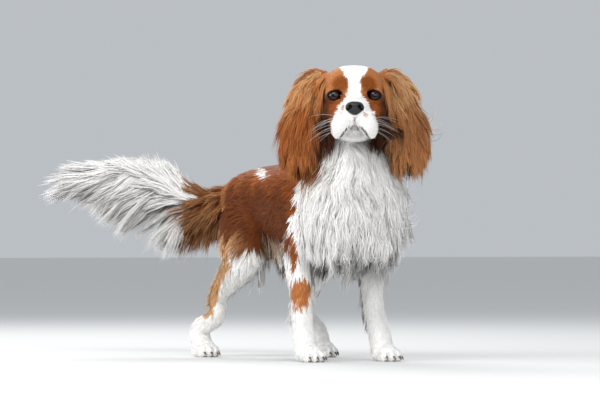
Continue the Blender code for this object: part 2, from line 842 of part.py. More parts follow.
def tail_locks(skins, chance):
    """The plume: long locks sweeping back and down from the tail, and shorter ones along its top."""
    rows = smooth_rows(np.array(TAIL_LINE), 2)
    stations = range(3, len(rows) - 1)
    made = []
    for i in stations:
        share = (i - stations[0]) / (len(stations) - 1)
        along = Vector(rows[i + 1] - rows[i - 1]).normalized()
        side = along.cross(DOWN).normalized()
        for turn in TAIL_TURNS[i % 2]:
            angle = math.radians(turn + chance.uniform(-8, 8))
            out = DOWN * math.cos(angle) + side * math.sin(angle)
            root = root_from(skins["body"], rows[i], out)
            hang = 0.5 + 0.5 * math.cos(angle)
            lie = along * (0.50 + 0.60 * share) + DOWN * (0.10 + 0.80 * hang * (1 - 0.80 * share))
            if hang < 0.1:
                lie = along + DOWN * 0.02
            length = 0.050 + 0.062 * hang * math.sin(math.pi * min(0.5, 0.15 + share)) + 0.018 * share
            made.append(
                lock(skins["all"], root, lie, length * chance.uniform(0.88, 1.08), chance.uniform(0.017, 0.023),
                     0.006, lie.normalized(), chance, LONG_LOCK)
            )
    return made


def leg_locks(skins, places, turns, length, width, chance):
    """Feathering down the back of a leg, from places on its middle line."""
    made = []
    for i, place in enumerate(places):
        turn = math.radians(turns[i % len(turns)] + chance.uniform(-8, 8))
        root = root_from(skins["body"], place, (math.sin(turn), math.cos(turn), 0))
        lie = DOWN + Vector((0, 0.30, 0))
        made.append(
            lock(skins["all"], root, lie, length * chance.uniform(0.85, 1.1), width, 0.0045, DOWN, chance)
        )
    return made


def foreleg_locks(skins, side, chance):
    size = FORELEGS[side]
    places = [(size["x"], size["elbow"] - 0.006, 0.168 - 0.0125 * k) for k in range(9)]
    return leg_locks(skins, places, (-22, 20), 0.036, 0.011, chance)


def hindleg_locks(skins, side, chance):
    size = HINDLEGS[side]
    hip, knee, hock = (Vector(size[k]) for k in ("hip", "knee", "hock"))
    places = [hip.lerp(knee, 0.25 + 0.2 * k) for k in range(4)]
    places += [knee.lerp(hock, 0.12 + 0.155 * k) for k in range(6)]
    return leg_locks(skins, places, (-30, 5, 32), 0.040, 0.012, chance)


def belly_locks(skins, chance):
    made = []
    for i in range(9):
        for s in (-1, 1):
            y = 0.062 + 0.019 * i + 0.009 * (s > 0)
            root = root_from(skins["body"], (0, y, 0.215), (s * (0.75 if i % 2 else 0.30), 0, -1))
            lie = DOWN + Vector((0, 0.45, 0))
            made.append(
                lock(skins["all"], root, lie, chance.uniform(0.036, 0.048), 0.013, 0.005, DOWN, chance)
            )
    return made


def grow_coat(nodes, skins):
    """Gives every long-haired node its locks, then cuts it clear of its neighbours."""
    chance = random.Random(SEED)
    grow(nodes["chest"], bib_locks(skins, chance))
    grow(nodes["tail"], tail_locks(skins, chance))
    grow(nodes["torso"], belly_locks(skins, chance))
    for side in ("left", "right"):
        grow(nodes["ear_" + side], ear_locks(skins, side, chance))
        grow(nodes["foreleg_" + side], foreleg_locks(skins, side, chance))
        grow(nodes["hindleg_" + side], hindleg_locks(skins, side, chance))
    clear_of(nodes["chest"], nodes["neck"], nodes["foreleg_left"], nodes["foreleg_right"], nodes["torso"])
    clear_of(nodes["torso"], nodes["hindleg_left"], nodes["hindleg_right"])
    clear_of(nodes["tail"], nodes["torso"], nodes["hindleg_right"])
    for side in ("left", "right"):
        clear_of(nodes["ear_" + side], nodes["head"], nodes["neck"], nodes["chest"])


def stand_on_origin(objects):
    """Moves everything so that the origin is under the middle of the bounding box."""
    corners = np.array([v.co for obj in objects for v in obj.data.vertices])
    low, high = corners.min(axis=0), corners.max(axis=0)
    shift = Matrix.Translation((-(low[0] + high[0]) / 2, -(low[1] + high[1]) / 2, 0))
    for obj in objects:
        obj.data.transform(shift)


def main():
    clear_scene()
    nodes, skins = build_flesh()
    carve_eyes(nodes["head"])
    seat = nose_form(grow=GAP)
    boolean(nodes["head"], seat, "DIFFERENCE")
    remove(seat)
    keep_largest(nodes["head"])
    carve_mouth(nodes["head"])
    merge_flat(nodes["head"])
    grow_coat(nodes, skins)
    brown = ("head", "torso", "ear_left", "ear_right")
    made = []
    for name, obj in nodes.items():
        made.append(finish(obj, name, "chestnut" if name in brown else "white"))
    made.append(finish(build_nose(), "nose", "nose", 0.4))
    for obj in build_eyes():
        made.append(finish(obj, obj.name, "eye", 0.1))
    stand_on_origin(made)


main()
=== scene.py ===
# Looks of a Cavalier King Charles spaniel, standing with its head turned to the right, life size.
# Metres, +Z up. The dog faces -Y and its left side is +X.
import math

import bmesh
import bpy
import numpy as np
from mathutils import Matrix, Vector
from mathutils.bvhtree import BVHTree


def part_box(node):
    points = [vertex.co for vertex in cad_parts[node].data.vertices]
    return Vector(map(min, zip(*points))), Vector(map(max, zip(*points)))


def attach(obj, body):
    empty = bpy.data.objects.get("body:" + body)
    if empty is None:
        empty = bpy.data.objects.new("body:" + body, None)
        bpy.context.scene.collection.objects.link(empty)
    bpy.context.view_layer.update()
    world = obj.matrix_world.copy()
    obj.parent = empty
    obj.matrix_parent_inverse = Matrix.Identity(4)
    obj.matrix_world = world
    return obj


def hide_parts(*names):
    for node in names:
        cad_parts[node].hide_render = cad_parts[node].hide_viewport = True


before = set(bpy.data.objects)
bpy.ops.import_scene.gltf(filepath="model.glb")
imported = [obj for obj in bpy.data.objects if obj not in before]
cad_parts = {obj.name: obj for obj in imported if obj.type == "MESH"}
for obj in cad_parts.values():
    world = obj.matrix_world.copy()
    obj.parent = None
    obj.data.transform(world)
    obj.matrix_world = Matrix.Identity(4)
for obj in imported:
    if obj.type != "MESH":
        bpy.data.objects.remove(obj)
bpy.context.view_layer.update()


# Hide
# The skin of the whole dog, with its flews and toes, under the coat.
# One unbroken surface from nose to tail, so that nothing shows where the solids part.

HEAD = (
    Matrix.Translation((-0.020, -0.060, 0.403))
    @ Matrix.Rotation(math.radians(-33), 4, "Z")
    @ Matrix.Rotation(math.radians(-8), 4, "X")
)
SIDES = (("right", -1), ("left", 1))
FULL_TURN = 2 * math.pi
EYE_RADIUS = 0.0125
EYE_PLACE = Vector((0.0298, -0.0466, -0.001))
# The sizes below count from under the dog's middle. STAND moves them to where the solids are.
eye_low, eye_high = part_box("eye_left")
STAND = Matrix.Translation((Vector(eye_low) + Vector(eye_high)) / 2 - HEAD @ EYE_PLACE)
HIDE_GRAIN = 0.0010
HIDE_SOFTENING = 12
HIDE_FACES = 186000
FLOOR_GAP = 0.0004


def smooth_rows(rows, per_span):
    """Points on a smooth curve through the rows, with every column treated alike."""
    rows = np.array(rows, float)
    steps = np.maximum(np.linalg.norm(np.diff(rows[:, :3], axis=0), axis=1), 1e-6)
    slopes = np.diff(rows, axis=0) / steps[:, None]
    at = np.empty_like(rows)
    at[0], at[-1] = slopes[0], slopes[-1]
    for i in range(1, len(rows) - 1):
        a, b = steps[i - 1], steps[i]
        at[i] = (b * slopes[i - 1] + a * slopes[i]) / (a + b)
    made = []
    for i, step in enumerate(steps):
        for k in range(per_span):
            t = k / per_span
            made.append(
                (2 * t**3 - 3 * t**2 + 1) * rows[i]
                + (t**3 - 2 * t**2 + t) * step * at[i]
                + (3 * t**2 - 2 * t**3) * rows[i + 1]
                + (t**3 - t**2) * step * at[i + 1]
            )
    made.append(rows[-1])
    return np.array(made)


def tube(bm, rows, across=(1, 0, 0), sides=32, per_span=5, power=2.2, place=Matrix.Identity(4)):
    """Adds a closed tube. Each row is x, y, z, half width along across, and half sizes to either side."""
    rows = smooth_rows(rows, per_span)
    rings = []
    for i, row in enumerate(rows):
        before, after = rows[max(i - 1, 0)], rows[min(i + 1, len(rows) - 1)]
        along = Vector(after[:3] - before[:3]).normalized()
        wide = Vector(across)
        wide = (wide - wide.dot(along) * along).normalized()
        high = wide.cross(along)
        ring = []
        for k in range(sides):
            turn = FULL_TURN * k / sides
            c, s = math.cos(turn), math.sin(turn)
            c = math.copysign(abs(c) ** (2 / power), c)
            s = math.copysign(abs(s) ** (2 / power), s)
            rise = row[4] if s > 0 else row[5]
            ring.append(bm.verts.new(place @ (Vector(row[:3]) + wide * (c * row[3]) + high * (s * rise))))
        rings.append(ring)
    made = []
    for low, high in zip(rings, rings[1:]):
        for k in range(sides):
            made.append(bm.faces.new((low[k], low[(k + 1) % sides], high[(k + 1) % sides], high[k])))
    made.append(bm.faces.new(rings[0][::-1]))
    made.append(bm.faces.new(rings[-1]))
    bmesh.ops.recalc_face_normals(bm, faces=made)


def ball(bm, centre, radii, place=Matrix.Identity(4), segments=32, rings=20):
    """Adds an ellipsoid."""
    shape = Matrix.Translation(Vector(centre)) @ Matrix.Diagonal((*radii, 1))
    bmesh.ops.create_uvsphere(bm, u_segments=segments, v_segments=rings, radius=1, matrix=place @ shape)


def put(name, data):
    """Puts a mesh, a lamp or a camera in the scene as an object at the origin."""
    made = bpy.data.objects.new(name, data)
    bpy.context.scene.collection.objects.link(made)
    return made


def settle(bm, name):
    """Turns mesh work into an object."""
    mesh = bpy.data.meshes.new(name)
    bm.to_mesh(mesh)
    bm.free()
    return put(name, mesh)


def applied(obj):
    """Turns an object's modifiers into its mesh."""
    graph = bpy.context.evaluated_depsgraph_get()
    old = obj.data
    made = bpy.data.meshes.new_from_object(obj.evaluated_get(graph))
    obj.modifiers.clear()
    obj.data = made
    bpy.data.meshes.remove(old)


def melt(obj, grain, softening):
    """Melts an object's shapes into one surface and smooths it."""
    fuse = obj.modifiers.new("melt", "REMESH")
    fuse.mode = "VOXEL"
    fuse.voxel_size = grain
    soften = obj.modifiers.new("soften", "SMOOTH")
    soften.factor = 0.5
    soften.iterations = softening
    applied(obj)


# Forelegs: x, the foot's y and the elbow's y. Hindlegs: hip, knee, hock and foot.
FORELEGS = {"right": (-0.058, 0.008, 0.040), "left": (0.062, -0.026, 0.016)}
HINDLEGS = {
    "right": ((-0.042, 0.228, 0.238), (-0.064, 0.182, 0.168), (-0.058, 0.279, 0.088), (-0.068, 0.304, 0.0)),
    "left": ((0.042, 0.228, 0.238), (0.066, 0.166, 0.166), (0.077, 0.222, 0.088), (0.087, 0.190, 0.0)),
}
FORE_FOOT, HIND_FOOT = (0.0200, 0.027), (0.0185, 0.0255)
TOES = ((-0.72, 0.52), (-0.26, 0.80), (0.26, 0.80), (0.72, 0.52))
TAIL_LINE = [
    (0.000, 0.285, 0.270),
    (-0.013, 0.312, 0.261),
    (-0.030, 0.337, 0.253),
    (-0.056, 0.367, 0.257),
    (-0.086, 0.394, 0.281),
    (-0.118, 0.418, 0.296),
    (-0.152, 0.440, 0.300),
    (-0.195, 0.468, 0.298),
]


def ear_line(s):
    """The middle of an ear's leather, from its root down, with its half width and half thickness."""
    return [
        (0.034 * s, 0.006, 0.030, 0.015, 0.008, 0.008),
        (0.054 * s, 0.005, 0.041, 0.019, 0.007, 0.007),
        (0.067 * s, 0.005, 0.029, 0.019, 0.006, 0.006),
        (0.075 * s, 0.007, -0.006, 0.024, 0.005, 0.005),
        (0.086 * s, 0.009, -0.044, 0.032, 0.005, 0.005),
        (0.089 * s, 0.010, -0.076, 0.022, 0.005, 0.005),
    ]


def ear_across(s):
    """The way across the leather, outwards and back."""
    return Vector((0.80 * s, 0.60, 0))


def eye_centre(s):
    return Vector((EYE_PLACE.x * s, EYE_PLACE.y, EYE_PLACE.z))


def add_foot(bm, x, y, half_width, half_length):
    """A pad with four toes in front of it."""
    ball(bm, (x, y, 0.012), (half_width, half_length, 0.017))
    for share, ahead in TOES:
        centre = (x + share * half_width, y - ahead * half_length, 0.0085)
        ball(bm, centre, (0.0062, 0.0115, 0.0105))


body = bmesh.new()

# Trunk, neck, breast and belly
tube(body, [
    (0, -0.100, 0.232, 0.023, 0.026, 0.030),
    (0, -0.082, 0.234, 0.052, 0.052, 0.058),
    (0, -0.045, 0.240, 0.071, 0.068, 0.080),
    (0, 0.000, 0.244, 0.077, 0.074, 0.084),
    (0, 0.050, 0.246, 0.076, 0.072, 0.086),
    (0, 0.100, 0.248, 0.075, 0.068, 0.082),
    (0, 0.160, 0.251, 0.069, 0.063, 0.072),
    (0, 0.215, 0.254, 0.064, 0.056, 0.064),
    (0, 0.260, 0.252, 0.057, 0.050, 0.060),
    (0, 0.292, 0.248, 0.042, 0.040, 0.044),
    (0, 0.308, 0.246, 0.019, 0.020, 0.024),
])
tube(body, [
    (0.000, 0.030, 0.255, 0.066, 0.064, 0.066),
    (-0.002, 0.004, 0.295, 0.064, 0.058, 0.072),
    (-0.008, -0.016, 0.330, 0.058, 0.050, 0.064),
    (-0.014, -0.034, 0.365, 0.053, 0.046, 0.050),
    (-0.018, -0.048, 0.395, 0.046, 0.042, 0.036),
])
tube(body, [
    (-0.010, -0.062, 0.340, 0.036, 0.014, 0.012),
    (-0.008, -0.074, 0.300, 0.050, 0.020, 0.016),
    (-0.004, -0.080, 0.250, 0.058, 0.024, 0.018),
    (0.000, -0.072, 0.200, 0.052, 0.024, 0.018),
    (0.002, -0.054, 0.165, 0.034, 0.018, 0.014),
])
tube(body, [
    (0, 0.050, 0.172, 0.026, 0.010, 0.010),
    (0, 0.110, 0.178, 0.022, 0.010, 0.012),
    (0, 0.160, 0.188, 0.018, 0.010, 0.012),
    (0, 0.205, 0.199, 0.014, 0.010, 0.010),
])

# Tail and legs
TAIL_SIZES = (0.018, 0.015, 0.013, 0.012, 0.012, 0.011, 0.010, 0.007)
tube(body, [(*p, size, size, 1.7 * size) for p, size in zip(TAIL_LINE, TAIL_SIZES)])
for x, foot, elbow in FORELEGS.values():
    tube(body, [
        (x * 0.86, elbow - 0.050, 0.250, 0.026, 0.036, 0.036),
        (x * 0.96, elbow - 0.020, 0.205, 0.025, 0.034, 0.032),
        (x, elbow, 0.165, 0.0210, 0.026, 0.024),
        (x, elbow - 0.006, 0.125, 0.0185, 0.022, 0.0195),
        (x, elbow - 0.012, 0.080, 0.0175, 0.020, 0.0175),
        (x, foot + 0.016, 0.045, 0.0170, 0.019, 0.0170),
        (x, foot + 0.008, 0.018, 0.0185, 0.020, 0.0185),
    ])
    add_foot(body, x, foot, *FORE_FOOT)
for hip, knee, hock, foot in HINDLEGS.values():
    hip, knee, hock = Vector(hip), Vector(knee), Vector(hock)
    tube(body, [
        (*hip, 0.034, 0.052, 0.050),
        (*hip.lerp(knee, 0.55), 0.034, 0.052, 0.048),
        (*knee.lerp(hock, 0.04), 0.030, 0.040, 0.034),
        (*knee.lerp(hock, 0.5), 0.0215, 0.027, 0.022),
        (*(hock + Vector((0, -0.004, 0.008))), 0.0155, 0.0180, 0.0175),
        (*(hock + Vector((0, 0.000, -0.016))), 0.0145, 0.0165, 0.0165),
        (foot[0], foot[1] + 0.014, 0.040, 0.0150, 0.0170, 0.0165),
        (foot[0], foot[1] + 0.006, 0.018, 0.0170, 0.0180, 0.0180),
    ])
    add_foot(body, foot[0], foot[1], *HIND_FOOT)

# Skull, jaw, flews, cheeks, brows and ears
tube(body, [
    (0, -0.0880, -0.031, 0.0150, 0.011, 0.013),
    (0, -0.0800, -0.030, 0.0210, 0.014, 0.022),
    (0, -0.0680, -0.027, 0.0240, 0.014, 0.027),
    (0, -0.0575, -0.022, 0.0260, 0.016, 0.032),
    (0, -0.0490, -0.012, 0.0330, 0.029, 0.036),
    (0, -0.0380, -0.004, 0.0440, 0.045, 0.040),
    (0, -0.0180, 0.001, 0.0505, 0.053, 0.044),
    (0, 0.0050, 0.002, 0.0520, 0.053, 0.046),
    (0, 0.0300, 0.002, 0.0480, 0.047, 0.044),
    (0, 0.0500, 0.002, 0.0360, 0.034, 0.034),
    (0, 0.0600, 0.001, 0.0180, 0.018, 0.018),
], place=HEAD, power=2.6)
tube(body, [
    (0, -0.0690, -0.0580, 0.0050, 0.003, 0.003),
    (0, -0.0650, -0.0585, 0.0095, 0.006, 0.006),
    (0, -0.0570, -0.0585, 0.0130, 0.010, 0.009),
    (0, -0.0400, -0.0570, 0.0200, 0.014, 0.011),
    (0, -0.0150, -0.0520, 0.0300, 0.018, 0.017),
    (0, 0.0200, -0.0430, 0.0340, 0.018, 0.018),
], place=HEAD)
for s in (-1, 1):
    tube(body, [
        (0.0110 * s, -0.0745, -0.0255, 0.0100, 0.0120, 0.0080),
        (0.0145 * s, -0.0750, -0.0360, 0.0130, 0.0130, 0.0120),
        (0.0190 * s, -0.0730, -0.0480, 0.0150, 0.0140, 0.0140),
        (0.0240 * s, -0.0680, -0.0590, 0.0120, 0.0150, 0.0120),
        (0.0280 * s, -0.0630, -0.0675, 0.0055, 0.0080, 0.0060),
    ], place=HEAD)
    for centre, radii in (
        ((0.0262 * s, -0.0500, -0.0470), (0.0115, 0.0240, 0.0190)),
        ((0.0330 * s, -0.0200, -0.0200), (0.0190, 0.0300, 0.0270)),
        ((0.0270 * s, -0.0400, -0.0240), (0.0150, 0.0190, 0.0150)),
        ((0.0230 * s, -0.0420, 0.0170), (0.0150, 0.0120, 0.0110)),
        ((0.0360 * s, -0.0060, 0.0290), (0.0190, 0.0300, 0.0165)),
        (eye_centre(s), (EYE_RADIUS + 0.0028,) * 3),
    ):
        ball(body, centre, radii, place=HEAD)
    tube(body, ear_line(s), across=ear_across(s), place=HEAD, power=2.0)
hide = settle(body, "hide")
melt(hide, HIDE_GRAIN, HIDE_SOFTENING)


def points_of(mesh):
    """A mesh's points as rows of x, y and z."""
    made = np.empty(len(mesh.vertices) * 3)
    mesh.vertices.foreach_get("co", made)
    return made.reshape(-1, 3)


def normals_of(mesh):
    made = np.empty(len(mesh.vertices) * 3)
    mesh.vertex_normals.foreach_get("vector", made)
    return made.reshape(-1, 3)


def move_points(mesh, points):
    mesh.vertices.foreach_set("co", points.ravel())
    mesh.update()


HEAD_AWAY, HEAD_BACK = np.array(HEAD), np.array(HEAD.inverted())


def in_head(points):
    """The points in the head's own frame, where the nose points to -Y."""
    return points @ HEAD_BACK[:3, :3].T + HEAD_BACK[:3, 3]


def from_head(points):
    return points @ HEAD_AWAY[:3, :3].T + HEAD_AWAY[:3, 3]


def ramp(value, low, high):
    """0 below low, 1 above high, smooth between."""
    t = np.clip((value - low) / (high - low), 0, 1)
    return t * t * (3 - 2 * t)


def earness(points):
    """1 on the leather of the ears, 0 elsewhere."""
    face = in_head(points)
    rows = np.array(ear_line(1))[:0:-1]
    middle = np.stack([np.interp(face[:, 2], rows[:, 2], rows[:, k]) for k in (0, 1, 3)], axis=1)
    across = np.array(ear_across(1))
    out, back = np.abs(face[:, 0]) - middle[:, 0], face[:, 1] - middle[:, 1]
    wide = np.abs(out * across[0] + back * across[1]) - middle[:, 2]
    through = np.abs(back * across[0] - out * across[1])
    level = ramp(face[:, 2], -0.106, -0.100) * ramp(np.abs(face[:, 0]), 0.046, 0.053)
    return ramp(0.007 - wide, 0, 0.005) * ramp(0.017 - through, 0, 0.005) * level


def headness(points):
    """1 on the head and ears, 0 on the body."""
    plane = (points - (-0.018, -0.030, 0.362)) @ (-0.10, -0.50, 0.86)
    return np.maximum(ramp(plane, -0.004, 0.010), earness(points))


def coat_depth(points):
    """How far the skin lies under the surface of the solids."""
    face = in_head(points)
    front = ramp(-face[:, 1], 0.020, 0.045)
    on_head = (0.0030 - 0.0018 * front) * (1 - 0.7 * earness(points))
    low = ramp(points[:, 2], 0.030, 0.110)
    on_body = (0.0012 + 0.0028 * low) * (1 - 0.7 * ramp(points[:, 1], 0.300, 0.320))
    mix = headness(points)
    return on_body * (1 - mix) + on_head * mix


hide_points = points_of(hide.data)
hide_points -= normals_of(hide.data) * coat_depth(hide_points)[:, None]
hide_points[:, 2] = np.maximum(hide_points[:, 2], FLOOR_GAP)
move_points(hide.data, hide_points)
thin = hide.modifiers.new("thin", "DECIMATE")
triangle_count = 2 * len(hide.data.polygons)
thin.ratio = min(1.0, HIDE_FACES / triangle_count)
thin.use_collapse_triangulate = True
applied(hide)


def drill(obj, cutter):
    """Cuts a closed shape out of a piece and takes the cutter away."""
    cut = obj.modifiers.new("cut", "BOOLEAN")
    cut.operation = "DIFFERENCE"
    cut.solver = "MANIFOLD"
    cut.object = cutter
    applied(obj)
    bpy.data.objects.remove(cutter)


openings, sockets = bmesh.new(), bmesh.new()
for s in (-1, 1):
    ball(openings, (s * 0.0288, -0.0606, -0.0014), (0.0132, 0.0135, 0.0088), place=HEAD)
    ball(sockets, eye_centre(s), (EYE_RADIUS + 0.0001,) * 3, place=HEAD)
drill(hide, settle(sockets, "sockets"))
drill(hide, settle(openings, "openings"))


# Markings
# The coat is rich chestnut on white: a white blaze, muzzle, chest, legs and plume.
# The same marks, with some painted shade and a painted sheen, colour the skin and every hair that grows from
# it.

def srgb(red, green, blue):
    """A colour as light values, from the values seen on a screen."""
    value = np.array([red, green, blue]) / 255
    return np.where(value < 0.04045, value / 12.92, ((value + 0.055) / 1.055) ** 2.4)


CHESTNUT, DEEP, COPPER = srgb(152, 80, 28), srgb(88, 40, 8), srgb(132, 68, 15)
# MAUVE_SHEEN is a painted sheen: the sky's reflection on the glossy loin.
FAWN, GOLD, MAUVE_SHEEN = srgb(184, 114, 62), srgb(214, 162, 112), srgb(132, 88, 72)
# LIP_AND_SHADE is the dark bare skin of lips and rims, also laid on the chin as painted shade.
CREAM, WHITE, LIP_AND_SHADE = srgb(246, 232, 206), srgb(252, 250, 247), srgb(40, 32, 32)


def blend(colours, other, share):
    """The colours, with a share of another laid over them."""
    return colours * (1 - share[:, None]) + other * share[:, None]


def waver(points, size, seed):
    """Smooth wandering values from about -1 to 1, about size across."""
    chance = np.random.default_rng(seed)
    total = np.zeros(len(points))
    for _ in range(5):
        way = chance.normal(size=3)
        way /= np.linalg.norm(way)
        angle = points @ way * (FULL_TURN / size) * chance.uniform(0.7, 1.4)
        total += np.sin(angle + chance.uniform(0, 6.3))
    return total / 2.2


ACROSS_VIEW = np.array((0.839, -0.545, 0.0))


def across_view(points):
    """How far a point lies towards the dog's front left, along the line across the view."""
    return ACROSS_VIEW[0] * points[:, 0] + ACROSS_VIEW[1] * points[:, 1]


def oval(across, up, middle, half):
    """1 in the middle of an oval, 0 on its edge and less outside."""
    return 1 - ((across - middle[0]) / half[0]) ** 2 - ((up - middle[1]) / half[1]) ** 2


def markings(points):
    """The coat's colour at each point of the skin, with painted shade on the cheeks and ears and a painted
    sheen over the loin.
    """
    x, y, z = points.T
    uneven = waver(points, 0.040, 3)
    fine = waver(points, 0.014, 4)
    side = across_view(points)

    # Body: chestnut, deeper low on the flank, and a paler mauve over the loin that is a painted sheen
    chestnut = np.tile(CHESTNUT, (len(points), 1))
    coat = chestnut
    for colour, share in (
        (DEEP, 0.85 * ramp(0.300 - z + 0.010 * uneven, 0.0, 0.040) * ramp(y, 0.015, 0.05)),
        (MAUVE_SHEEN, 0.60 * ramp(z, 0.290, 0.308) * ramp(y + 0.008 * uneven, 0.06, 0.10)),
        (FAWN, 0.60 * ramp(y, 0.235, 0.275) * ramp(z + 0.01 * uneven, 0.15, 0.21)),
        (GOLD, 0.85 * ramp(0.206 + 0.008 * uneven - z, 0.0, 0.016) * ramp(y, 0.15, 0.20)),
        (CREAM, ramp(0.196 - z, 0.0, 0.010) * ramp(0.052 - np.abs(x), 0, 0.010) * ramp(y, 0.03, 0.05)),
    ):
        coat = blend(coat, colour, share)

    # White: chest and throat, legs and belly
    reach = np.where(x < 0, 0.017, 0.004) + 0.004 * uneven + 0.003 * fine
    reach = reach + 0.022 * (ramp(z, 0.198, 0.206) - ramp(z, 0.228, 0.236)) * (x < 0)
    chest = ramp(reach - y, -0.003, 0.004) * ramp(z, 0.0, 0.01)
    neck_front = ramp(-(y + 0.022) - 0.62 * np.abs(x + 0.012) + 0.35 * (z - 0.33), -0.004, 0.004)
    chest = np.where(z > 0.295, chest * neck_front, chest)
    legs = ramp(0.178 - z + 0.006 * uneven, -0.004, 0.006)
    hind = ramp(0.176 + 0.006 * uneven - z, -0.004, 0.006)
    edge = np.interp(z, (0.060, 0.069, 0.084, 0.111, 0.139, 0.155, 0.178),
                     (-0.300, -0.206, -0.203, -0.197, -0.189, -0.175, -0.173))
    rear = ramp(edge - side + 0.002 * fine, -0.002, 0.002) * (x < 0)
    legs = np.where(y > 0.12, hind * (1 - rear), legs)
    coat = blend(coat, WHITE, np.maximum(chest, legs))

    # Small marks on the white: the right foreleg's patch, the strip above it and a spot on the chest
    for colour, middle, half, unevenness, edge, behind in (
        (FAWN, (-0.068, 0.113), (0.016, 0.027), 0.35, 0.35, 0.10),
        (CHESTNUT, (-0.076, 0.176), (0.006, 0.030), 0.3, 0.4, 0.12),
        (COPPER, (-0.070, 0.242), (0.014, 0.010), 0.4, 0.4, 0.06),
    ):
        mark = oval(side, z, middle, half) + unevenness * fine
        coat = blend(coat, colour, ramp(mark, -0.1, edge) * (x < 0) * (y < behind))

    # A white streak on the right flank
    streak = oval(side + 0.8 * (z - 0.300), z, (-0.122, 0.302), (0.011, 0.020)) + 0.3 * fine
    streak = streak - ((y - 0.145) / 0.042) ** 2
    coat = blend(coat, WHITE, 0.9 * ramp(streak, 0.0, 0.4) * (x < 0) * (z > 0.27))

    # Tail: chestnut at its root and white beyond
    on_tail = ramp(y, 0.305, 0.315) * ramp(z, 0.15, 0.17)
    coat = blend(coat, blend(chestnut, DEEP, 0.75 * ramp(0.285 - z, 0, 0.02)), on_tail)
    coat = blend(coat, WHITE, ramp(-side - 0.232 + 0.006 * uneven, -0.004, 0.006) * on_tail)

    # Head: fawn crown, copper brows, deep brown cheeks darkened with painted shade under the ears, a white
    # blaze and muzzle with four small flecks
    fx, fy, fz = in_head(points).T
    wide = np.abs(fx)
    brow = oval(wide, fz, (0.020, 0.014), (0.013, 0.014))
    hair = np.tile(FAWN, (len(points), 1))
    for colour, share in (
        (CHESTNUT, ramp(0.006 - fz, 0, 0.014)),
        # Painted shade: the cheeks deepen towards the ears, and the jaw's side under the ears is near black
        (0.55 * DEEP, 0.9 * ramp(wide + 0.003 * uneven, 0.025, 0.042) * ramp(0.004 - fz, 0, 0.016)),
        (0.22 * DEEP, 0.8 * ramp(wide, 0.034, 0.040) * ramp(-0.022 - fz, 0, 0.016)),
        (COPPER, ramp(brow, -0.4, 0.6) * (fy < -0.01)),
    ):
        hair = blend(hair, colour, share)
    blaze = np.interp(fz, (-0.045, -0.027, -0.015, 0.0, 0.020, 0.035, 0.050),
                      (0.033, 0.027, 0.020, 0.0095, 0.0105, 0.018, 0.024))
    blaze = np.where(fz > 0.03, blaze * (1 - ramp(fy, 0.0, 0.05)), blaze)
    muzzle = np.interp(fz, (-0.075, -0.06, -0.045, -0.027), (0.040, 0.0385, 0.0345, 0.027))
    blaze = np.where(fz < -0.027, muzzle, blaze) + 0.0012 * fine
    hair = blend(hair, WHITE, ramp(blaze - wide, -0.0012, 0.0012) * (fy < 0.05))
    for middle, half in (
        ((-0.0165, -0.025), (0.0022, 0.0045)),
        ((0.0150, -0.036), (0.0028, 0.0035)),
        ((0.0250, -0.034), (0.0016, 0.0016)),
        ((-0.0200, -0.033), (0.0014, 0.0014)),
    ):
        fleck = oval(fx, fz, middle, half) + 0.4 * fine
        hair = blend(hair, FAWN, 0.75 * ramp(fleck, 0, 0.6) * (fy < -0.05))

    # Ears: golden at the top, paler low down on the left one, and dark along the inner edge, partly deep
    # brown hair and partly painted shade beside the cheek
    pale = np.where(fx < 0, 0.45, 0.55 + 0.45 * ramp(-0.010 - fz, 0, 0.04))
    ear = chestnut
    for colour, share in (
        (FAWN, pale * ramp(np.abs(fz + 0.018 + 0.006 * uneven), 0.012, 0.045)),
        (GOLD, 0.9 * ramp(fz + 0.004 * uneven, 0.010, 0.034)),
        # The inner edge's deep brown, darkened further as painted shade
        (0.7 * DEEP, 0.8 * ramp(0.070 - wide + 0.003 * fine, 0, 0.012) * ramp(-fz, -0.01, 0.02)),
    ):
        ear = blend(ear, colour, share)
    hair = blend(hair, ear, np.maximum(ramp(wide, 0.053, 0.060), earness(points)))
    hair = blend(hair, WHITE, ramp(-0.062 - fz, 0, 0.004) * ramp(0.045 - wide, 0, 0.006))
    return blend(coat, hair, headness(points))


# The upper lip's edge: heights in the head's frame, and half the gap between the flews at each
LIP_EDGE = ((-0.0740, -0.0675, -0.0590, -0.0540, -0.0505), (0.0262, 0.0204, 0.0140, 0.0090, 0.0))


def mouth_marks_and_shade(points):
    """The dark lip margins, which part under the nose like a tent and hold painted shadow in the gap between
    the flews, the furrow up to the nose, and painted shade on the chin that sits back under the flews.
    """
    fx, fy, fz = in_head(points).T
    width = np.abs(fx)
    front = ramp(-0.050 - fy, 0, 0.006)
    gap = np.interp(fz, *LIP_EDGE)
    edge = np.abs(width - gap) * 0.75
    # The lip line: dark lip margin, and painted shadow in the gap between the flews
    lips = ramp(0.0022 - edge, 0, 0.0014) * front * ramp(-0.049 - fz, 0, 0.002) * ramp(fz + 0.0765, 0, 0.002)
    under = ramp(gap - width, 0, 0.002) * front * ramp(-0.050 - fz, 0, 0.001)
    margin = np.interp(fy, (-0.066, -0.050, -0.036), (-0.0735, -0.0715, -0.0600))
    side = ramp(0.0022 - np.abs(fz - margin), 0, 0.0012)
    side = side * ramp(width, 0.022, 0.026) * ramp(-0.034 - fy, 0, 0.004)
    furrow = ramp(0.0034 - width, 0, 0.0026) * front
    furrow = furrow * ramp(fz + 0.053, 0, 0.002) * ramp(-0.036 - fz, 0, 0.002)
    # Painted shade on the chin, which sits back under the gap between the flews
    chin = 0.42 * under * ramp(fy + 0.080, 0, 0.004)
    return np.maximum.reduce((0.95 * lips, 0.85 * side, 0.62 * furrow, chin))


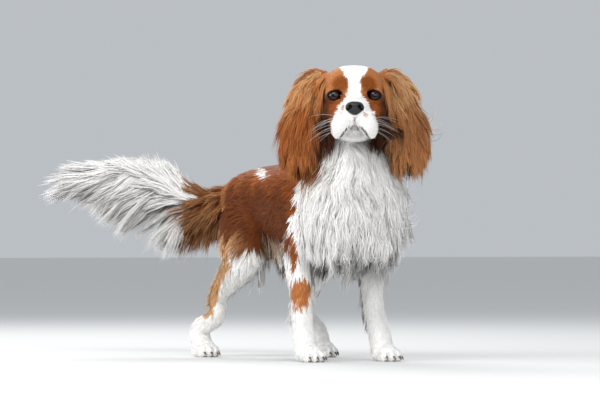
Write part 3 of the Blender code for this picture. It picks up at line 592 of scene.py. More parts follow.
def near_eyes(points):
    """1 on the bare rims and the balls of the eyes."""
    face = in_head(points)
    face[:, 0] = np.abs(face[:, 0])
    spread = (face - (0.0292, -0.0560, -0.0013)) / (0.0150, 0.0190, 0.0086)
    return ramp(1.12 - np.linalg.norm(spread, axis=1), 0, 0.15)


def paint(mesh, colours):
    """Keeps a colour for each point of a mesh, for the material to read."""
    layer = mesh.attributes.new("Coat", "FLOAT_COLOR", "POINT")
    full = np.ones((len(colours), 4), np.float32)
    full[:, :3] = colours
    layer.data.foreach_set("color", full.ravel())


hide_points = points_of(hide.data)
fx, fy, fz = in_head(hide_points).T
furrow = np.exp(-(fx / 0.0011) ** 2) * ramp(-0.050 - fy, 0, 0.01)
furrow = furrow * ramp(fz + 0.0525, 0, 0.002) * ramp(-0.034 - fz, 0, 0.002)
hide_points -= normals_of(hide.data) * (0.0016 * furrow)[:, None]
move_points(hide.data, hide_points)
# Dark bare skin on the lips, furrow and eye rims, with painted shade on the chin
bare = np.maximum(mouth_marks_and_shade(hide_points), 0.85 * near_eyes(hide_points))
paint(hide.data, blend(markings(hide_points), LIP_AND_SHADE, bare))


def set_sockets(node, values):
    """Sets a node's inputs by name, and gives the node back."""
    for name, value in values.items():
        node.inputs[name].default_value = value
    return node


def material(name, values):
    """A material, its node tree and its shader, with values set on the shader's own sockets."""
    made = bpy.data.materials.new(name)
    made.use_nodes = True
    shader = set_sockets(made.node_tree.nodes["Principled BSDF"], values)
    return made, made.node_tree, shader


def add_node(tree, kind, values=None):
    return set_sockets(tree.nodes.new("ShaderNode" + kind), values or {})


def coat_material(name, roughness, grain, relief):
    """A hair material: the coat's colour with fine uneven streaks, and a soft sheen."""
    made, tree, shader = material(name, {
        "Roughness": roughness, "Sheen Weight": 0.04, "Sheen Roughness": 0.5, "Specular IOR Level": 0.14,
    })
    link = tree.links.new
    coat = add_node(tree, "Attribute")
    coat.attribute_name = "Coat"
    place = add_node(tree, "TexCoord")
    uneven = add_node(tree, "TexNoise", {"Scale": grain, "Detail": 3})
    link(place.outputs["Object"], uneven.inputs["Vector"])
    tone = add_node(tree, "MapRange", {"From Min": 0.3, "From Max": 0.7, "To Min": 0.90, "To Max": 1.05})
    link(uneven.outputs["Fac"], tone.inputs["Value"])
    mix = add_node(tree, "Mix")
    mix.data_type = "RGBA"
    mix.blend_type = "MULTIPLY"
    mix.inputs["Factor"].default_value = 1
    link(coat.outputs["Color"], mix.inputs["A"])
    link(tone.outputs["Result"], mix.inputs["B"])
    link(mix.outputs["Result"], shader.inputs["Base Color"])
    bump = add_node(tree, "Bump", {"Strength": relief, "Distance": 0.001})
    link(uneven.outputs["Fac"], bump.inputs["Height"])
    link(bump.outputs["Normal"], shader.inputs["Normal"])
    return made


FLESH = ("head", "neck", "chest", "torso", "tail", "foreleg_left", "foreleg_right",
         "hindleg_left", "hindleg_right", "ear_left", "ear_right")


def dress(obj, finish, slot, *nodes):
    """Stands a finished piece where the solids stand, gives it its finish and hides the named solids."""
    obj.data.transform(STAND)
    obj.data.shade_smooth()
    obj.data.materials.clear()
    obj.data.materials.append(finish)
    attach(obj, "root")
    if nodes:
        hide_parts(*nodes)


hide_faces = [tuple(face.vertices) for face in hide.data.polygons]
hide_tree = BVHTree.FromPolygons([Vector(place) for place in hide_points], hide_faces)
hide_normals = normals_of(hide.data)
hide.data.calc_loop_triangles()
triangles = np.empty(len(hide.data.loop_triangles) * 3, np.int32)
hide.data.loop_triangles.foreach_get("vertices", triangles)
triangles = triangles.reshape(-1, 3)
dress(hide, coat_material("short coat", roughness=0.70, grain=700, relief=0.5), "coat_chestnut", *FLESH)


# Hair
# Every hair or tuft is a thin solid strand that tapers to its tip and leans along the coat.
# The strands of one part of the coat are one joined mesh, shaped with arrays.

BONES = {
    "neck": [(-0.018, -0.048, 0.395), (-0.008, -0.016, 0.330), (0.0, 0.020, 0.275)],
    "torso": [(0, -0.060, 0.240), (0, 0.100, 0.248), (0, 0.290, 0.252)],
    "tail": TAIL_LINE,
}
for side, (x, foot, elbow) in FORELEGS.items():
    BONES["foreleg_" + side] = [(x, elbow, 0.175), (x, elbow - 0.012, 0.080), (x, foot - 0.010, 0.010)]
for side, (hip, knee, hock, foot) in HINDLEGS.items():
    BONES["hindleg_" + side] = [hip, knee, hock, (foot[0], foot[1] - 0.010, 0.010)]
for side, s in SIDES:
    BONES["ear_" + side] = [tuple(HEAD @ Vector(row[:3])) for row in ear_line(s)[1:]]
BONES["head"] = [tuple(HEAD @ Vector(p)) for p in ((0, -0.09, -0.03), (0, -0.04, -0.01), (0, 0.05, 0.0))]
LEG_THICKNESS = 0.022
THICKNESS = {"neck": 0.055, "torso": 0.070, "tail": 0.012, "head": 0.045, "ear_left": 0.01, "ear_right": 0.01}
FAR = 9.0
MAP_PATCH = 0.003


def nearest_bone(points):
    """Which bone each point lies on, how far along it is, its bearing round it and its way out of it."""
    best = np.full(len(points), FAR)
    outward = np.zeros_like(points)
    which = np.zeros(len(points), int)
    share = np.zeros(len(points))
    turn = np.zeros(len(points))
    for index, (name, line) in enumerate(BONES.items()):
        line = np.array(line, float)
        spans = np.linalg.norm(np.diff(line, axis=0), axis=1)
        total, start = spans.sum(), 0.0
        for a, b, length in zip(line, line[1:], spans):
            axis = (b - a) / length
            t = np.clip((points - a) @ axis, 0, length)
            out = points - (a + t[:, None] * axis)
            away = np.linalg.norm(out, axis=1) - THICKNESS.get(name, LEG_THICKNESS)
            side = np.cross(axis, (0.31, 0.95, 0.12) if abs(axis[2]) > 0.7 else (0.05, 0.1, 1))
            side /= np.linalg.norm(side)
            bearing = np.arctan2(out @ np.cross(axis, side), out @ side)
            closer = away < best
            best = np.where(closer, away, best)
            which = np.where(closer, index, which)
            share = np.where(closer, (start + t) / total, share)
            turn = np.where(closer, bearing / FULL_TURN + 0.5, turn)
            outward = np.where(closer[:, None], out, outward)
            start += length
    return which, share, turn, outward


def unwrap(points):
    """Each point's place on a flat plan of the skin, with every limb unrolled in its own tile."""
    which, share, turn, _ = nearest_bone(points)
    columns, margin, part = 4, 0.04, 0.90
    u = (which % columns + margin + part * turn) / columns
    v = (which // columns + margin + part * share) / columns
    return np.stack([u, v], axis=1)


def sow(count, cover, seed):
    """Points spread over the skin, thick where cover is high, with the skin's normal at each.
    None grow in the creases round the thighs."""
    chance = np.random.default_rng(seed)
    corners = hide_points[triangles]
    areas = np.linalg.norm(np.cross(corners[:, 1] - corners[:, 0], corners[:, 2] - corners[:, 0]), axis=1)
    middle = corners.mean(axis=1)
    facing = hide_normals[triangles].mean(axis=1)
    evenness = np.linalg.norm(facing, axis=1)
    facing /= np.maximum(evenness, 1e-9)[:, None]
    rump = ramp(middle[:, 1], 0.10, 0.12) * ramp(middle[:, 2], 0.12, 0.14)
    rump = rump * ramp(0.310 - middle[:, 1], 0, 0.01)
    odds = areas * np.clip(cover(middle, facing), 0, None) * (1 - rump * ramp(0.990 - evenness, 0, 0.02))
    picked = chance.choice(len(odds), size=count, p=odds / odds.sum())
    a, b = chance.random(count), chance.random(count)
    a, b = np.where(a + b > 1, 1 - a, a), np.where(a + b > 1, 1 - b, b)
    c = 1 - a - b
    p = corners[picked]
    return p[:, 0] * a[:, None] + p[:, 1] * b[:, None] + p[:, 2] * c[:, None], facing[picked]


def unit(vectors):
    """The vectors at length 1."""
    return vectors / np.maximum(np.linalg.norm(vectors, axis=-1, keepdims=True), 1e-9)


def strands(name, slot, paths, side, width, root_colours, tip_colours, facing=None,
            flat=0.55, taper=(0.55, 1.0, 0.8), soft=0.65):
    """Makes a piece of tapered strands. Each path is a row of points from the root to the tip.
    The light falls on them partly as on the coat's surface, which faces the way of facing."""
    count, rings = paths.shape[0], paths.shape[1] - 1
    paths[..., 2] = np.maximum(paths[..., 2], width.max())
    ahead = np.concatenate([paths[:, 1:], paths[:, -1:]], axis=1)
    behind = np.concatenate([paths[:, :1], paths[:, :-1]], axis=1)
    along = unit(ahead - behind)[:, :rings]
    wide = unit(side[:, None, :] - (side[:, None, :] * along).sum(-1, keepdims=True) * along)
    high = np.cross(wide, along)
    shares = np.arange(rings) / rings
    profile = np.interp(shares, np.linspace(0, 1, len(taper) + 1), (*taper, 0.0))
    half = width[:, None] * profile[None, :] / 2
    points = np.empty((count, rings * 3 + 1, 3))
    for k in range(3):
        turn = math.radians(90 + 120 * k)
        aside = wide * (half * math.cos(turn) * 1.15)[..., None]
        above = high * (half * math.sin(turn) * flat)[..., None]
        points[:, k:rings * 3:3] = paths[:, :rings] + (aside + above)
    points[:, -1] = paths[:, -1]
    quads = [(3 * i + k, 3 * i + 3 + k, 3 * i + 3 + (k + 1) % 3, 3 * i + (k + 1) % 3)
             for i in range(rings - 1) for k in range(3)]
    last = 3 * (rings - 1)
    tips = [(3 * rings, last + (k + 1) % 3, last + k) for k in range(3)] + [(0, 1, 2)]
    starts = (np.arange(count) * (rings * 3 + 1))[:, None, None]
    quads = (np.array(quads)[None] + starts).reshape(-1, 4)
    tips = (np.array(tips)[None] + starts).reshape(-1, 3)
    loops = np.concatenate([quads.ravel(), tips.ravel()]).astype(np.int32)
    sizes = np.concatenate([np.full(len(quads), 4), np.full(len(tips), 3)])
    mesh = bpy.data.meshes.new(name)
    flat_points = points.reshape(-1, 3)
    mesh.vertices.add(len(flat_points))
    mesh.vertices.foreach_set("co", flat_points.astype(np.float32).ravel())
    mesh.loops.add(len(loops))
    mesh.loops.foreach_set("vertex_index", loops)
    mesh.polygons.add(len(sizes))
    mesh.polygons.foreach_set("loop_start", np.concatenate([[0], np.cumsum(sizes)[:-1]]).astype(np.int32))
    mesh.update(calc_edges=True)
    mesh.shade_smooth()
    if facing is None:
        outward = unit(nearest_bone(paths.reshape(-1, 3))[3]).reshape(count, rings + 1, 3)
    else:
        outward = np.repeat(facing[:, None], rings + 1, axis=1)
    outward = np.concatenate([np.repeat(outward[:, :rings], 3, axis=1), outward[:, -1:]], axis=1)
    centres = np.concatenate([np.repeat(paths[:, :rings], 3, axis=1), paths[:, -2:-1]], axis=1)
    shading = unit(outward * soft + unit(points - centres) * (1 - soft))
    mesh.normals_split_custom_set_from_vertices(shading.reshape(-1, 3))
    share = np.append(np.repeat(shares, 3), 1.0)[None, :, None]
    colours = root_colours[:, None, :] * (1 - share) + tip_colours[:, None, :] * share
    paint(mesh, colours.reshape(-1, 3))
    plan = unwrap(paths[:, 0])[:, None, :]
    patch = np.zeros((rings * 3 + 1, 2))
    patch[:-1, 0] = np.tile((0, 0.5, 1), rings)
    patch[-1, 0] = 0.5
    patch[:, 1] = share[0, :, 0]
    plan = (plan + MAP_PATCH * (patch[None] - 0.5)).reshape(-1, 2)
    layer = mesh.uv_layers.new(name="OFBake")
    layer.data.foreach_set("uv", plan[loops].astype(np.float32).ravel())
    dress(put(name, mesh), coat_gloss, slot)


coat_gloss = coat_material("long coat", roughness=0.55, grain=300, relief=0.15)
DOWN = np.array((0.0, 0.0, -1.0))


def lie_at(points):
    """The way the coat lies at each point: back from the nose, back and down the body, down the legs."""
    flow = np.zeros_like(points)
    ways = {
        "neck": (0.0, 0.30, -0.95), "torso": (0.0, 1.0, -0.42), "head": (0, 1, 0),
        "ear_left": (0, 0, -1), "ear_right": (0, 0, -1),
        "foreleg_left": (0, 0.20, -1), "foreleg_right": (0, 0.20, -1),
        "hindleg_left": (0, 0.45, -0.9), "hindleg_right": (0, 0.45, -0.9),
    }
    for name, line in BONES.items():
        line = np.array(line, float)
        near = np.full(len(points), FAR)
        way = np.zeros_like(points)
        for a, b in zip(line, line[1:]):
            span = b - a
            t = np.clip((points - a) @ span / (span @ span), 0, 1)
            away = np.linalg.norm(points - (a + t[:, None] * span), axis=1)
            away = away - THICKNESS.get(name, LEG_THICKNESS)
            closer = away < near
            near = np.where(closer, away, near)
            here = np.array(ways.get(name, span / np.linalg.norm(span)), float)
            way = np.where(closer[:, None], here, way)
        flow += way * np.exp(-np.clip(near, -0.02, 0.2) / 0.010)[:, None]
    breast = ramp(0.03 - points[:, 1], 0, 0.05) * ramp(points[:, 2], 0.14, 0.18)
    flow = unit(flow) * (1 - breast[:, None]) + DOWN * breast[:, None]
    from_nose = unit(points - np.array(HEAD @ Vector((0, -0.096, -0.020))))
    face = in_head(points)
    outward = np.sign(face[:, :1]) * np.array(HEAD.to_3x3() @ Vector((1, 0, 0)))
    aside = ramp(np.abs(face[:, 0]), 0.030, 0.050) * ramp(face[:, 2], -0.01, 0.02)
    from_nose = from_nose * (1 - aside[:, None]) + (0.7 * outward + 0.7 * DOWN) * aside[:, None]
    mix = headness(points)[:, None]
    return unit(unit(flow) * (1 - mix) + from_nose * mix)


def lift_clear(paths, least):
    """Raises the outer points of each path that lie too near the skin or under it."""
    for path in paths:
        for k in range(1, len(path)):
            place = Vector(path[k])
            near, facing, _, _ = hide_tree.find_nearest(place)
            short = least * k - (place - near).dot(facing)
            if short > 0:
                path[k] = place + facing * short


def short_fur(name, slot, cover, count, seed, length, width, lift, rings=2):
    """Makes a piece of short tufts that lie along the skin."""
    chance = np.random.default_rng(seed)
    roots, normals = sow(count, cover, seed)
    lie = lie_at(roots) + 0.16 * chance.normal(size=roots.shape)
    flow = unit(lie - (lie * normals).sum(-1, keepdims=True) * normals)
    side = np.cross(flow, normals)
    long = length * chance.uniform(0.7, 1.25, count) * length_scale(roots)
    rise = lift * chance.uniform(0.6, 1.4, count) * (1 - 0.45 * muzzleness(roots))
    bend = chance.normal(size=count) * 0.10
    steps = np.arange(rings + 1) / rings
    along = steps[None, :] * long[:, None]
    up = -0.0004 + along * rise[:, None] * (1 - 0.55 * steps[None, :])
    paths = (
        roots[:, None, :]
        + flow[:, None, :] * along[..., None]
        + normals[:, None, :] * up[..., None]
        + side[:, None, :] * (bend[:, None] * along * steps[None, :])[..., None]
    )
    # The lip marks and the chin's painted shade carry into the tufts
    colours = blend(markings(roots), LIP_AND_SHADE, 0.5 * mouth_marks_and_shade(roots))
    colours = colours * (1 + (0.13 - 0.10 * colours[:, 2:]) * chance.normal(size=(count, 1)))
    lift_clear(paths, 0.0005)
    widths = width * chance.uniform(0.8, 1.2, count)
    # The roots are painted darker as shade deep in the coat, and the tips paler
    strands(name, slot, paths, side, widths, colours * 0.90, colours * 1.12, normals, soft=0.80)


def muzzleness(points):
    """1 on the white muzzle, where the hair is shortest."""
    face = in_head(points)
    return headness(points) * ramp(-0.052 - face[:, 1], 0, 0.010)


def length_scale(points):
    """How long the short coat is, against its full length: less on the face and the feet."""
    face = in_head(points)
    front = headness(points) * ramp(-face[:, 1], 0.0, 0.05)
    low = ramp(0.08 - points[:, 2], 0, 0.06)
    return (1 - 0.30 * front) * (1 - 0.40 * muzzleness(points)) * (1 - 0.45 * low)


def body_cover(points, facing):
    return (1 - headness(points)) * ramp(points[:, 2], 0.10, 0.16) * ramp(0.30 - points[:, 1], -0.02, 0.0)


def leg_cover(points, facing):
    return (1 - headness(points)) * ramp(0.17 - points[:, 2], 0, 0.03)


def face_cover(points, facing):
    face = in_head(points)
    on_ear = np.maximum(ramp(np.abs(face[:, 0]), 0.050, 0.056), earness(points))
    nose = 1 - ramp(0.016 - np.linalg.norm(face - (0, -0.088, -0.027), axis=1), 0, 0.002)
    bare = np.maximum(near_eyes(points), 0.9 * mouth_marks_and_shade(points))
    on_ear = on_ear * ramp(0.012 - face[:, 2], 0, 0.02)
    return headness(points) * (1 - on_ear) * nose * (1 - bare) * (1 + 1.2 * ramp(-face[:, 1], 0.02, 0.05))


short_fur("coat_body", "coat_chestnut", body_cover, 16500, 11, length=0.021, width=0.0021, lift=0.18)
short_fur("coat_legs", "coat_white", leg_cover, 9500, 12, length=0.014, width=0.0016, lift=0.17)
short_fur("coat_face", "coat_face", face_cover, 17000, 13, length=0.010, width=0.0011, lift=0.17)


# Long hair
# The ears, chest, tail, belly and the backs of the legs carry long silky wavy hair.
# Each lock follows a leading strand that hangs over the skin, and gathers towards its tip.

WAVE_LENGTH = 0.045
LOOSE_SHARE = 0.07


def lead(roots, normals, lies, lengths, fall, seed, hang, rise, wave, steps=9):
    """The leading strands: each leaves the skin, leans over it and falls, with a slow wave.
    hang is how strongly it turns to fall, and rise is how far its tip keeps from the skin."""
    chance = np.random.default_rng(seed)
    paths = np.empty((len(roots), steps + 1, 3))
    fall = np.broadcast_to(np.array(fall, float), roots.shape)
    for i, (root, normal, lie) in enumerate(zip(roots, normals, lies)):
        place, normal = Vector(root), Vector(normal)
        flow = Vector(lie)
        flow = (flow - normal * flow.dot(normal)).normalized()
        way = (flow + normal * 0.35).normalized()
        side = way.cross(normal).normalized()
        stride = lengths[i] / steps
        drop = Vector(fall[i]) * hang
        phase = chance.uniform(0, 6.3)
        layer = chance.uniform(0.5, 1.0)
        paths[i, 0] = place - normal * 0.001
        for k in range(1, steps + 1):
            turn = wave * math.cos(phase + k * 6.3 * stride / WAVE_LENGTH)
            way = (way + drop + side * turn).normalized()
            place = place + way * stride
            near, facing, _, _ = hide_tree.find_nearest(place)
            out = place - near
            away = out.length
            clear = 0.0015 + rise * layer * k / steps
            if out.dot(facing) < 0:
                place = near + facing * clear
            elif away < clear:
                place = near + (out * (0.5 / max(away, 1e-6)) + facing * 0.5).normalized() * clear
            paths[i, k] = place
    return paths


def locks(name, slot, leaders, roots, facing, seed, tip, width, clump, spread,
          soft=0.78, ragged=0.18, rings=4):
    """Makes a piece of strands that follow the nearest leading strands.
    clump is how much they gather towards their tips, and spread is how far the tips stray."""
    chance = np.random.default_rng(seed)
    count = len(roots)
    starts = leaders[:, 0]
    nearest = np.empty(count, int)
    block = 2000
    for first in range(0, count, block):
        away = np.linalg.norm(roots[first:first + block, None] - starts[None], axis=2)
        nearest[first:first + block] = away.argmin(axis=1)
    steps = leaders.shape[1] - 1
    shares = np.arange(rings + 1) / rings
    long = 1 + ragged * (2 * chance.random(count) - 1.2)
    at = np.clip(shares[None, :] * long[:, None], 0, 1.0) * steps
    low = np.minimum(at.astype(int), steps - 1)
    part = (at - low)[..., None]
    lines = leaders[nearest]
    index = np.arange(count)[:, None]
    paths = lines[index, low] * (1 - part) + lines[index, low + 1] * part
    over = np.clip(shares[None, :] * long[:, None] - 1, 0, None)[..., None] * steps
    paths += (lines[:, -1:] - lines[:, -2:-1]) * over * 0.9
    offset = roots - starts[nearest]
    loose = chance.random(count) < LOOSE_SHARE
    gather = np.where(loose, 0.1, clump * chance.uniform(0.8, 1.1, count))
    keep = 1 - np.clip(gather[:, None] * shares[None, :] ** 0.8, 0, 0.97)
    paths += offset[:, None, :] * keep[..., None]
    stray = chance.normal(size=(count, 3)) * spread * np.where(loose, 2.2, 1.0)[:, None]
    paths += stray[:, None, :] * (shares[None, :] ** 1.3)[..., None]
    side = unit(np.cross(paths[:, -1] - paths[:, 0], chance.normal(size=(count, 3))))
    own = markings(roots)
    tone = 1 + 0.14 * chance.normal(size=len(starts))[nearest]
    pale = ramp(own[:, 2], 0.30, 0.60)
    own = own * (1 + (1 - 0.8 * pale) * (tone - 1 + 0.12 * chance.normal(size=count)))[:, None]
    ends = blend(own * 0.55 + tip * 0.45, WHITE, pale)
    widths = width * chance.uniform(0.75, 1.25, count)
    # The roots are painted a little darker as shade deep in the coat
    strands(name, slot, paths, side, widths, own * 0.94, ends, facing, soft=soft)


def ear_cover(s):
    """Where the hair of one ear grows: over the leather and round its root."""
    def cover(points, facing):
        face = in_head(points)
        inner = 0.052 - 0.012 * ramp(face[:, 2], 0.0, 0.02)
        root = headness(points) * ramp(face[:, 0] * s, inner, inner + 0.006) * ramp(face[:, 2], -0.02, 0.0)
        crest = ramp(0.048 - face[:, 2], 0, 0.004)
        return np.maximum(root, earness(points) * (face[:, 0] * s > 0)) * crest
    return cover


for side, s in SIDES:
    seed = 20 + s
    chance = np.random.default_rng(seed)
    roots, normals = sow(240, ear_cover(s), seed)
    rows = smooth_rows(ear_line(s), 4)
    spine = from_head(rows[:, :3])
    near = np.linalg.norm(roots[:, None] - spine[None], axis=2).argmin(axis=1)
    across = np.array((HEAD.to_3x3() @ ear_across(s)).normalized())
    edge = np.clip(((roots - spine[near]) @ across) / rows[near, 3], -1, 1)
    low = in_head(roots)[:, 2]
    lean = 0.40 * np.clip(edge, 0, 1) * (1 - 1.2 * ramp(-low, 0.010, 0.050))
    lean = lean - 0.16 * np.clip(-edge, 0, 1) + 0.35 * ramp(low, 0.0, 0.03)
    crown = ramp(low, 0.016, 0.036)
    drop = DOWN * (1 - 0.75 * crown)[:, None]
    down = unit(drop + across * (lean + 0.05 * chance.normal(size=len(roots)))[:, None])
    fall = unit(DOWN + across * (0.8 * lean)[:, None])
    lengths = 0.048 + 0.018 * chance.random(len(roots)) - 0.009 * ramp(-low, 0.025, 0.070) - 0.016 * crown
    leaders = lead(roots, normals, down, lengths, fall, seed, hang=0.34, rise=0.009, wave=0.30)
    spots, facing = sow(6600, ear_cover(s), seed + 5)
    facing = unit(0.6 * facing * (1, 1, 0.3) + 0.25 * across + (-0.1, -0.3, 0.45))
    locks("coat_ear_" + side, "coat_chestnut", leaders, spots, facing, seed + 7, FAWN if s < 0 else GOLD,
          width=0.0013, clump=0.62, spread=0.0026, soft=0.72, ragged=0.16, rings=5)


def cheek_cover(points, facing):
    """The jaw's angle and the side of the throat, under the ears."""
    face = in_head(points)
    aside = ramp(np.abs(face[:, 0]), 0.034, 0.042) * ramp(0.056 - np.abs(face[:, 0]), 0, 0.006)
    aside = aside * ramp(face[:, 1], -0.030, -0.015)
    return headness(points) * (1 - earness(points)) * aside * ramp(-0.012 - face[:, 2], 0, 0.012)


roots, normals = sow(120, cheek_cover, 27)
towards = unit(DOWN + 0.25 * normals * (1, 1, 0))
lengths = 0.034 + 0.014 * np.random.default_rng(27).random(len(roots))
leaders = lead(roots, normals, towards, lengths, DOWN, 27, hang=0.25, rise=0.012, wave=0.20)
spots, facing = sow(2200, cheek_cover, 28)
facing = unit(facing * (1, 1, 0.3) + (-0.10, -0.30, 0.35))
# The cheek hair darkens to deep brown towards its tips, painted shade under the ears
locks("coat_cheeks", "coat_chestnut", leaders, spots, facing, 29, DEEP,
      width=0.0013, clump=0.55, spread=0.0030, soft=0.75)


def bib_cover(points, facing):
    """The chest and the front of the throat, thickest where the coat is white."""
    front = ramp(0.012 - points[:, 1] - 0.10 * np.abs(points[:, 0]), 0, 0.02)
    high = ramp(points[:, 2], 0.140, 0.170)
    white = 0.15 + 0.85 * ramp(markings(points)[:, 2], 0.3, 0.6)
    return (1 - headness(points)) * front * high * white


roots, normals = sow(300, bib_cover, 31)
towards = unit(DOWN + 0.30 * normals * (1, 1, 0))
lengths = 0.046 + 0.024 * np.random.default_rng(31).random(len(roots))
lengths = lengths * (1 - 0.45 * ramp(-normals[:, 2], 0.35, 0.70)) + 0.010 * ramp(0.205 - roots[:, 2], 0, 0.03)
leaders = lead(roots, normals, towards, lengths, DOWN, 31, hang=0.25, rise=0.013, wave=0.50)
for part, seed in (("under", 32), ("over", 33)):
    spots, facing = sow(6300, bib_cover, seed)
    facing = unit(facing * (1, 1, 0) + (-0.15, -0.30, 0.45))
    locks("coat_chest_" + part, "coat_white", leaders, spots, facing, seed + 3, GOLD,
          width=0.0013, clump=0.58, spread=0.0032)


def tail_cover(points, facing):
    return ramp(points[:, 1], 0.300, 0.318) * ramp(points[:, 2], 0.200, 0.220)


roots, normals = sow(260, tail_cover, 41)
line = smooth_rows(TAIL_LINE, 6)
nearest = np.linalg.norm(roots[:, None] - line[None], axis=2).argmin(axis=1)
share = nearest / (len(line) - 1)
along = unit(np.gradient(line, axis=0))[nearest]
under = np.clip(0.5 - 0.5 * normals[:, 2], 0, 1)
sweep = np.interp(share, (0.0, 0.25, 0.50, 0.80, 1.0), (0.12, 0.18, 0.28, 0.55, 1.2))
drop = np.interp(share, (0.0, 0.80, 1.0), (1.0, 0.8, 0.42))
upright = np.interp(share, (0.0, 0.25, 0.42, 0.60, 0.80, 1.0), (0.0, 0.25, 1.0, 0.50, 0.12, 0.0))
fall = drop * under - upright * (1 - under)
towards = unit(along * (sweep * under + 1 - under)[:, None] + DOWN * fall[:, None])
below = np.interp(share, (0.0, 0.10, 0.25, 0.40, 0.55, 0.70, 0.85, 1.0),
                  (0.045, 0.050, 0.064, 0.084, 0.100, 0.090, 0.066, 0.074))
above = np.interp(share, (0.0, 0.3, 0.45, 0.6, 0.8, 1.0), (0.030, 0.034, 0.054, 0.036, 0.040, 0.076))
lengths = above + (below - above) * ramp(under, 0.1, 0.9)
leaders = lead(roots, normals, towards, lengths, towards, 41, hang=0.35, rise=0.004, wave=0.22)
FLANK_WAY = np.array((0.60, 0.80, 0.0))
for part, seed in (("upper", 42), ("lower", 43)):
    spots, facing = sow(5200, tail_cover, seed)
    flat = FLANK_WAY * np.where(facing @ FLANK_WAY < 0, -1, 1)[:, None]
    flat = flat * ramp(facing[:, 2:], -0.6, 0.2)
    facing = unit(0.45 * flat + (-0.15, -0.22, 0.7))
    locks("coat_tail_" + part, "coat_white", leaders, spots, facing, seed + 5, GOLD,
          width=0.0016, clump=0.60, spread=0.0036)


def fringe_cover(points, facing):
    """The backs of the legs, the belly and the breeches."""
    x, y, z = points.T
    back = ramp(facing[:, 1], 0.25, 0.6)
    leg = back * ramp(z, 0.045, 0.06) * ramp(0.215 - z, 0, 0.02)
    belly = ramp(-facing[:, 2], 0.1, 0.4) * ramp(y, 0.03, 0.05)
    belly = belly * ramp(z, 0.13, 0.15) * ramp(0.062 - np.abs(x), 0, 0.02)
    breech = ramp(y, 0.24, 0.27) * ramp(z, 0.12, 0.14) * ramp(0.26 - z, 0, 0.02)
    return (1 - headness(points)) * np.maximum.reduce((leg, 1.2 * belly, breech)) * ramp(0.315 - y, 0, 0.01)


roots, normals = sow(330, fringe_cover, 51)
towards = np.broadcast_to(unit(DOWN + np.array((0, 0.35, 0))), roots.shape)
x, y, z = roots.T
belly = ramp(y, 0.03, 0.05) * ramp(z, 0.13, 0.16) * ramp(0.062 - np.abs(x), 0, 0.02)
breech = ramp(y, 0.22, 0.26) * ramp(z, 0.15, 0.20)
lengths = 0.010 + 0.012 * np.random.default_rng(51).random(len(roots)) + 0.030 * belly + 0.024 * breech
leaders = lead(roots, normals, towards, lengths, DOWN, 51, hang=0.25, rise=0.005, wave=0.22)
spots, facing = sow(5600, fringe_cover, 52)
facing = unit(facing * (0.3, 0.3, 0) + np.sign(spots[:, :1]) * (0.4, 0, 0) + (-0.05, -0.15, 0.7))
locks("coat_fringes", "coat_white", leaders, spots, facing, 53, CREAM,
      width=0.0014, clump=0.66, spread=0.0028)


# Wisps
# A few long pale hairs that have slipped out of the coat, at the left ear and the chest's edge.
# Each is one thin curling strand, rooted in the skin.

def wisp_cover(points, facing):
    face = in_head(points)
    ear = earness(points) * ramp(face[:, 0], 0.094, 0.104) * ramp(face[:, 2] + 0.055, 0, 0.01)
    chest = bib_cover(points, facing) * ramp(across_view(points), 0.062, 0.075)
    return 1.6 * ear + 0.35 * (chest * ramp(points[:, 2], 0.18, 0.20))


WISP_STEPS = 12
FINE_TAPER = (1.0, 0.9, 0.6)
chance = np.random.default_rng(71)
roots, normals = sow(64, wisp_cover, 71)
paths = np.empty((len(roots), WISP_STEPS + 1, 3))
paths[:, 0] = roots - 0.001 * normals
angle = chance.uniform(-1.1, -0.3, len(roots))
curl = chance.uniform(1.2, 4.2, len(roots))
toward = chance.uniform(-0.5, 0.3, (len(roots), 1)) * np.cross(ACROSS_VIEW, DOWN)
span = chance.uniform(0.034, 0.060, len(roots))
for k in range(1, WISP_STEPS + 1):
    bearing = angle + curl * (k / WISP_STEPS) ** 1.6
    way = ACROSS_VIEW * np.cos(bearing)[:, None] + DOWN * -np.sin(bearing)[:, None] + toward
    paths[:, k] = paths[:, k - 1] + unit(way) * (span / WISP_STEPS)[:, None]
pale = blend(np.tile(srgb(226, 200, 170), (len(roots), 1)), WHITE, 1 - headness(roots))
widths = np.full(len(roots), 0.0007)
strands("coat_wisps", "coat_white", paths, unit(toward + (0, 0, 0.01)), widths, pale, pale,
        unit(normals + (0, -0.3, 0.5)), flat=1.0, taper=FINE_TAPER)


# Eyes
# Large dark round eyes: a brown iris round a black pupil, with a wet shine.
# Each is one polished ball that sits in its socket between the lids.

eye_finish, tree, shader = material("eye", {"Roughness": 0.03, "Specular IOR Level": 0.34})
coat = add_node(tree, "Attribute")
coat.attribute_name = "Coat"
tree.links.new(coat.outputs["Color"], shader.inputs["Base Color"])
for side, s in SIDES:
    eye = bmesh.new()
    ball(eye, eye_centre(s), (EYE_RADIUS,) * 3, place=HEAD, segments=64, rings=40)
    eye = settle(eye, "eye_ball_" + side)
    gaze = np.array((s * 0.10, -1.0, 0.02))
    gaze /= np.linalg.norm(gaze)
    seen = unit(in_head(points_of(eye.data)) - np.array(eye_centre(s))) @ gaze
    ring = np.degrees(np.arccos(np.clip(seen, -1, 1)))
    shade = np.tile(srgb(10, 7, 7), (len(ring), 1))
    shade = blend(shade, srgb(56, 27, 12), ramp(ring, 20, 25) * ramp(36 - ring, 0, 6))
    shade = blend(shade, srgb(4, 3, 4), ramp(22 - ring, 0, 3))
    paint(eye.data, shade)
    dress(eye, eye_finish, "eye", "eye_" + side)


# Lids
# Bare black rims of skin round each eye, drawn out to a point at the inner corner.
# Each is one closed band that rests on the ball and meets the hair outside it.

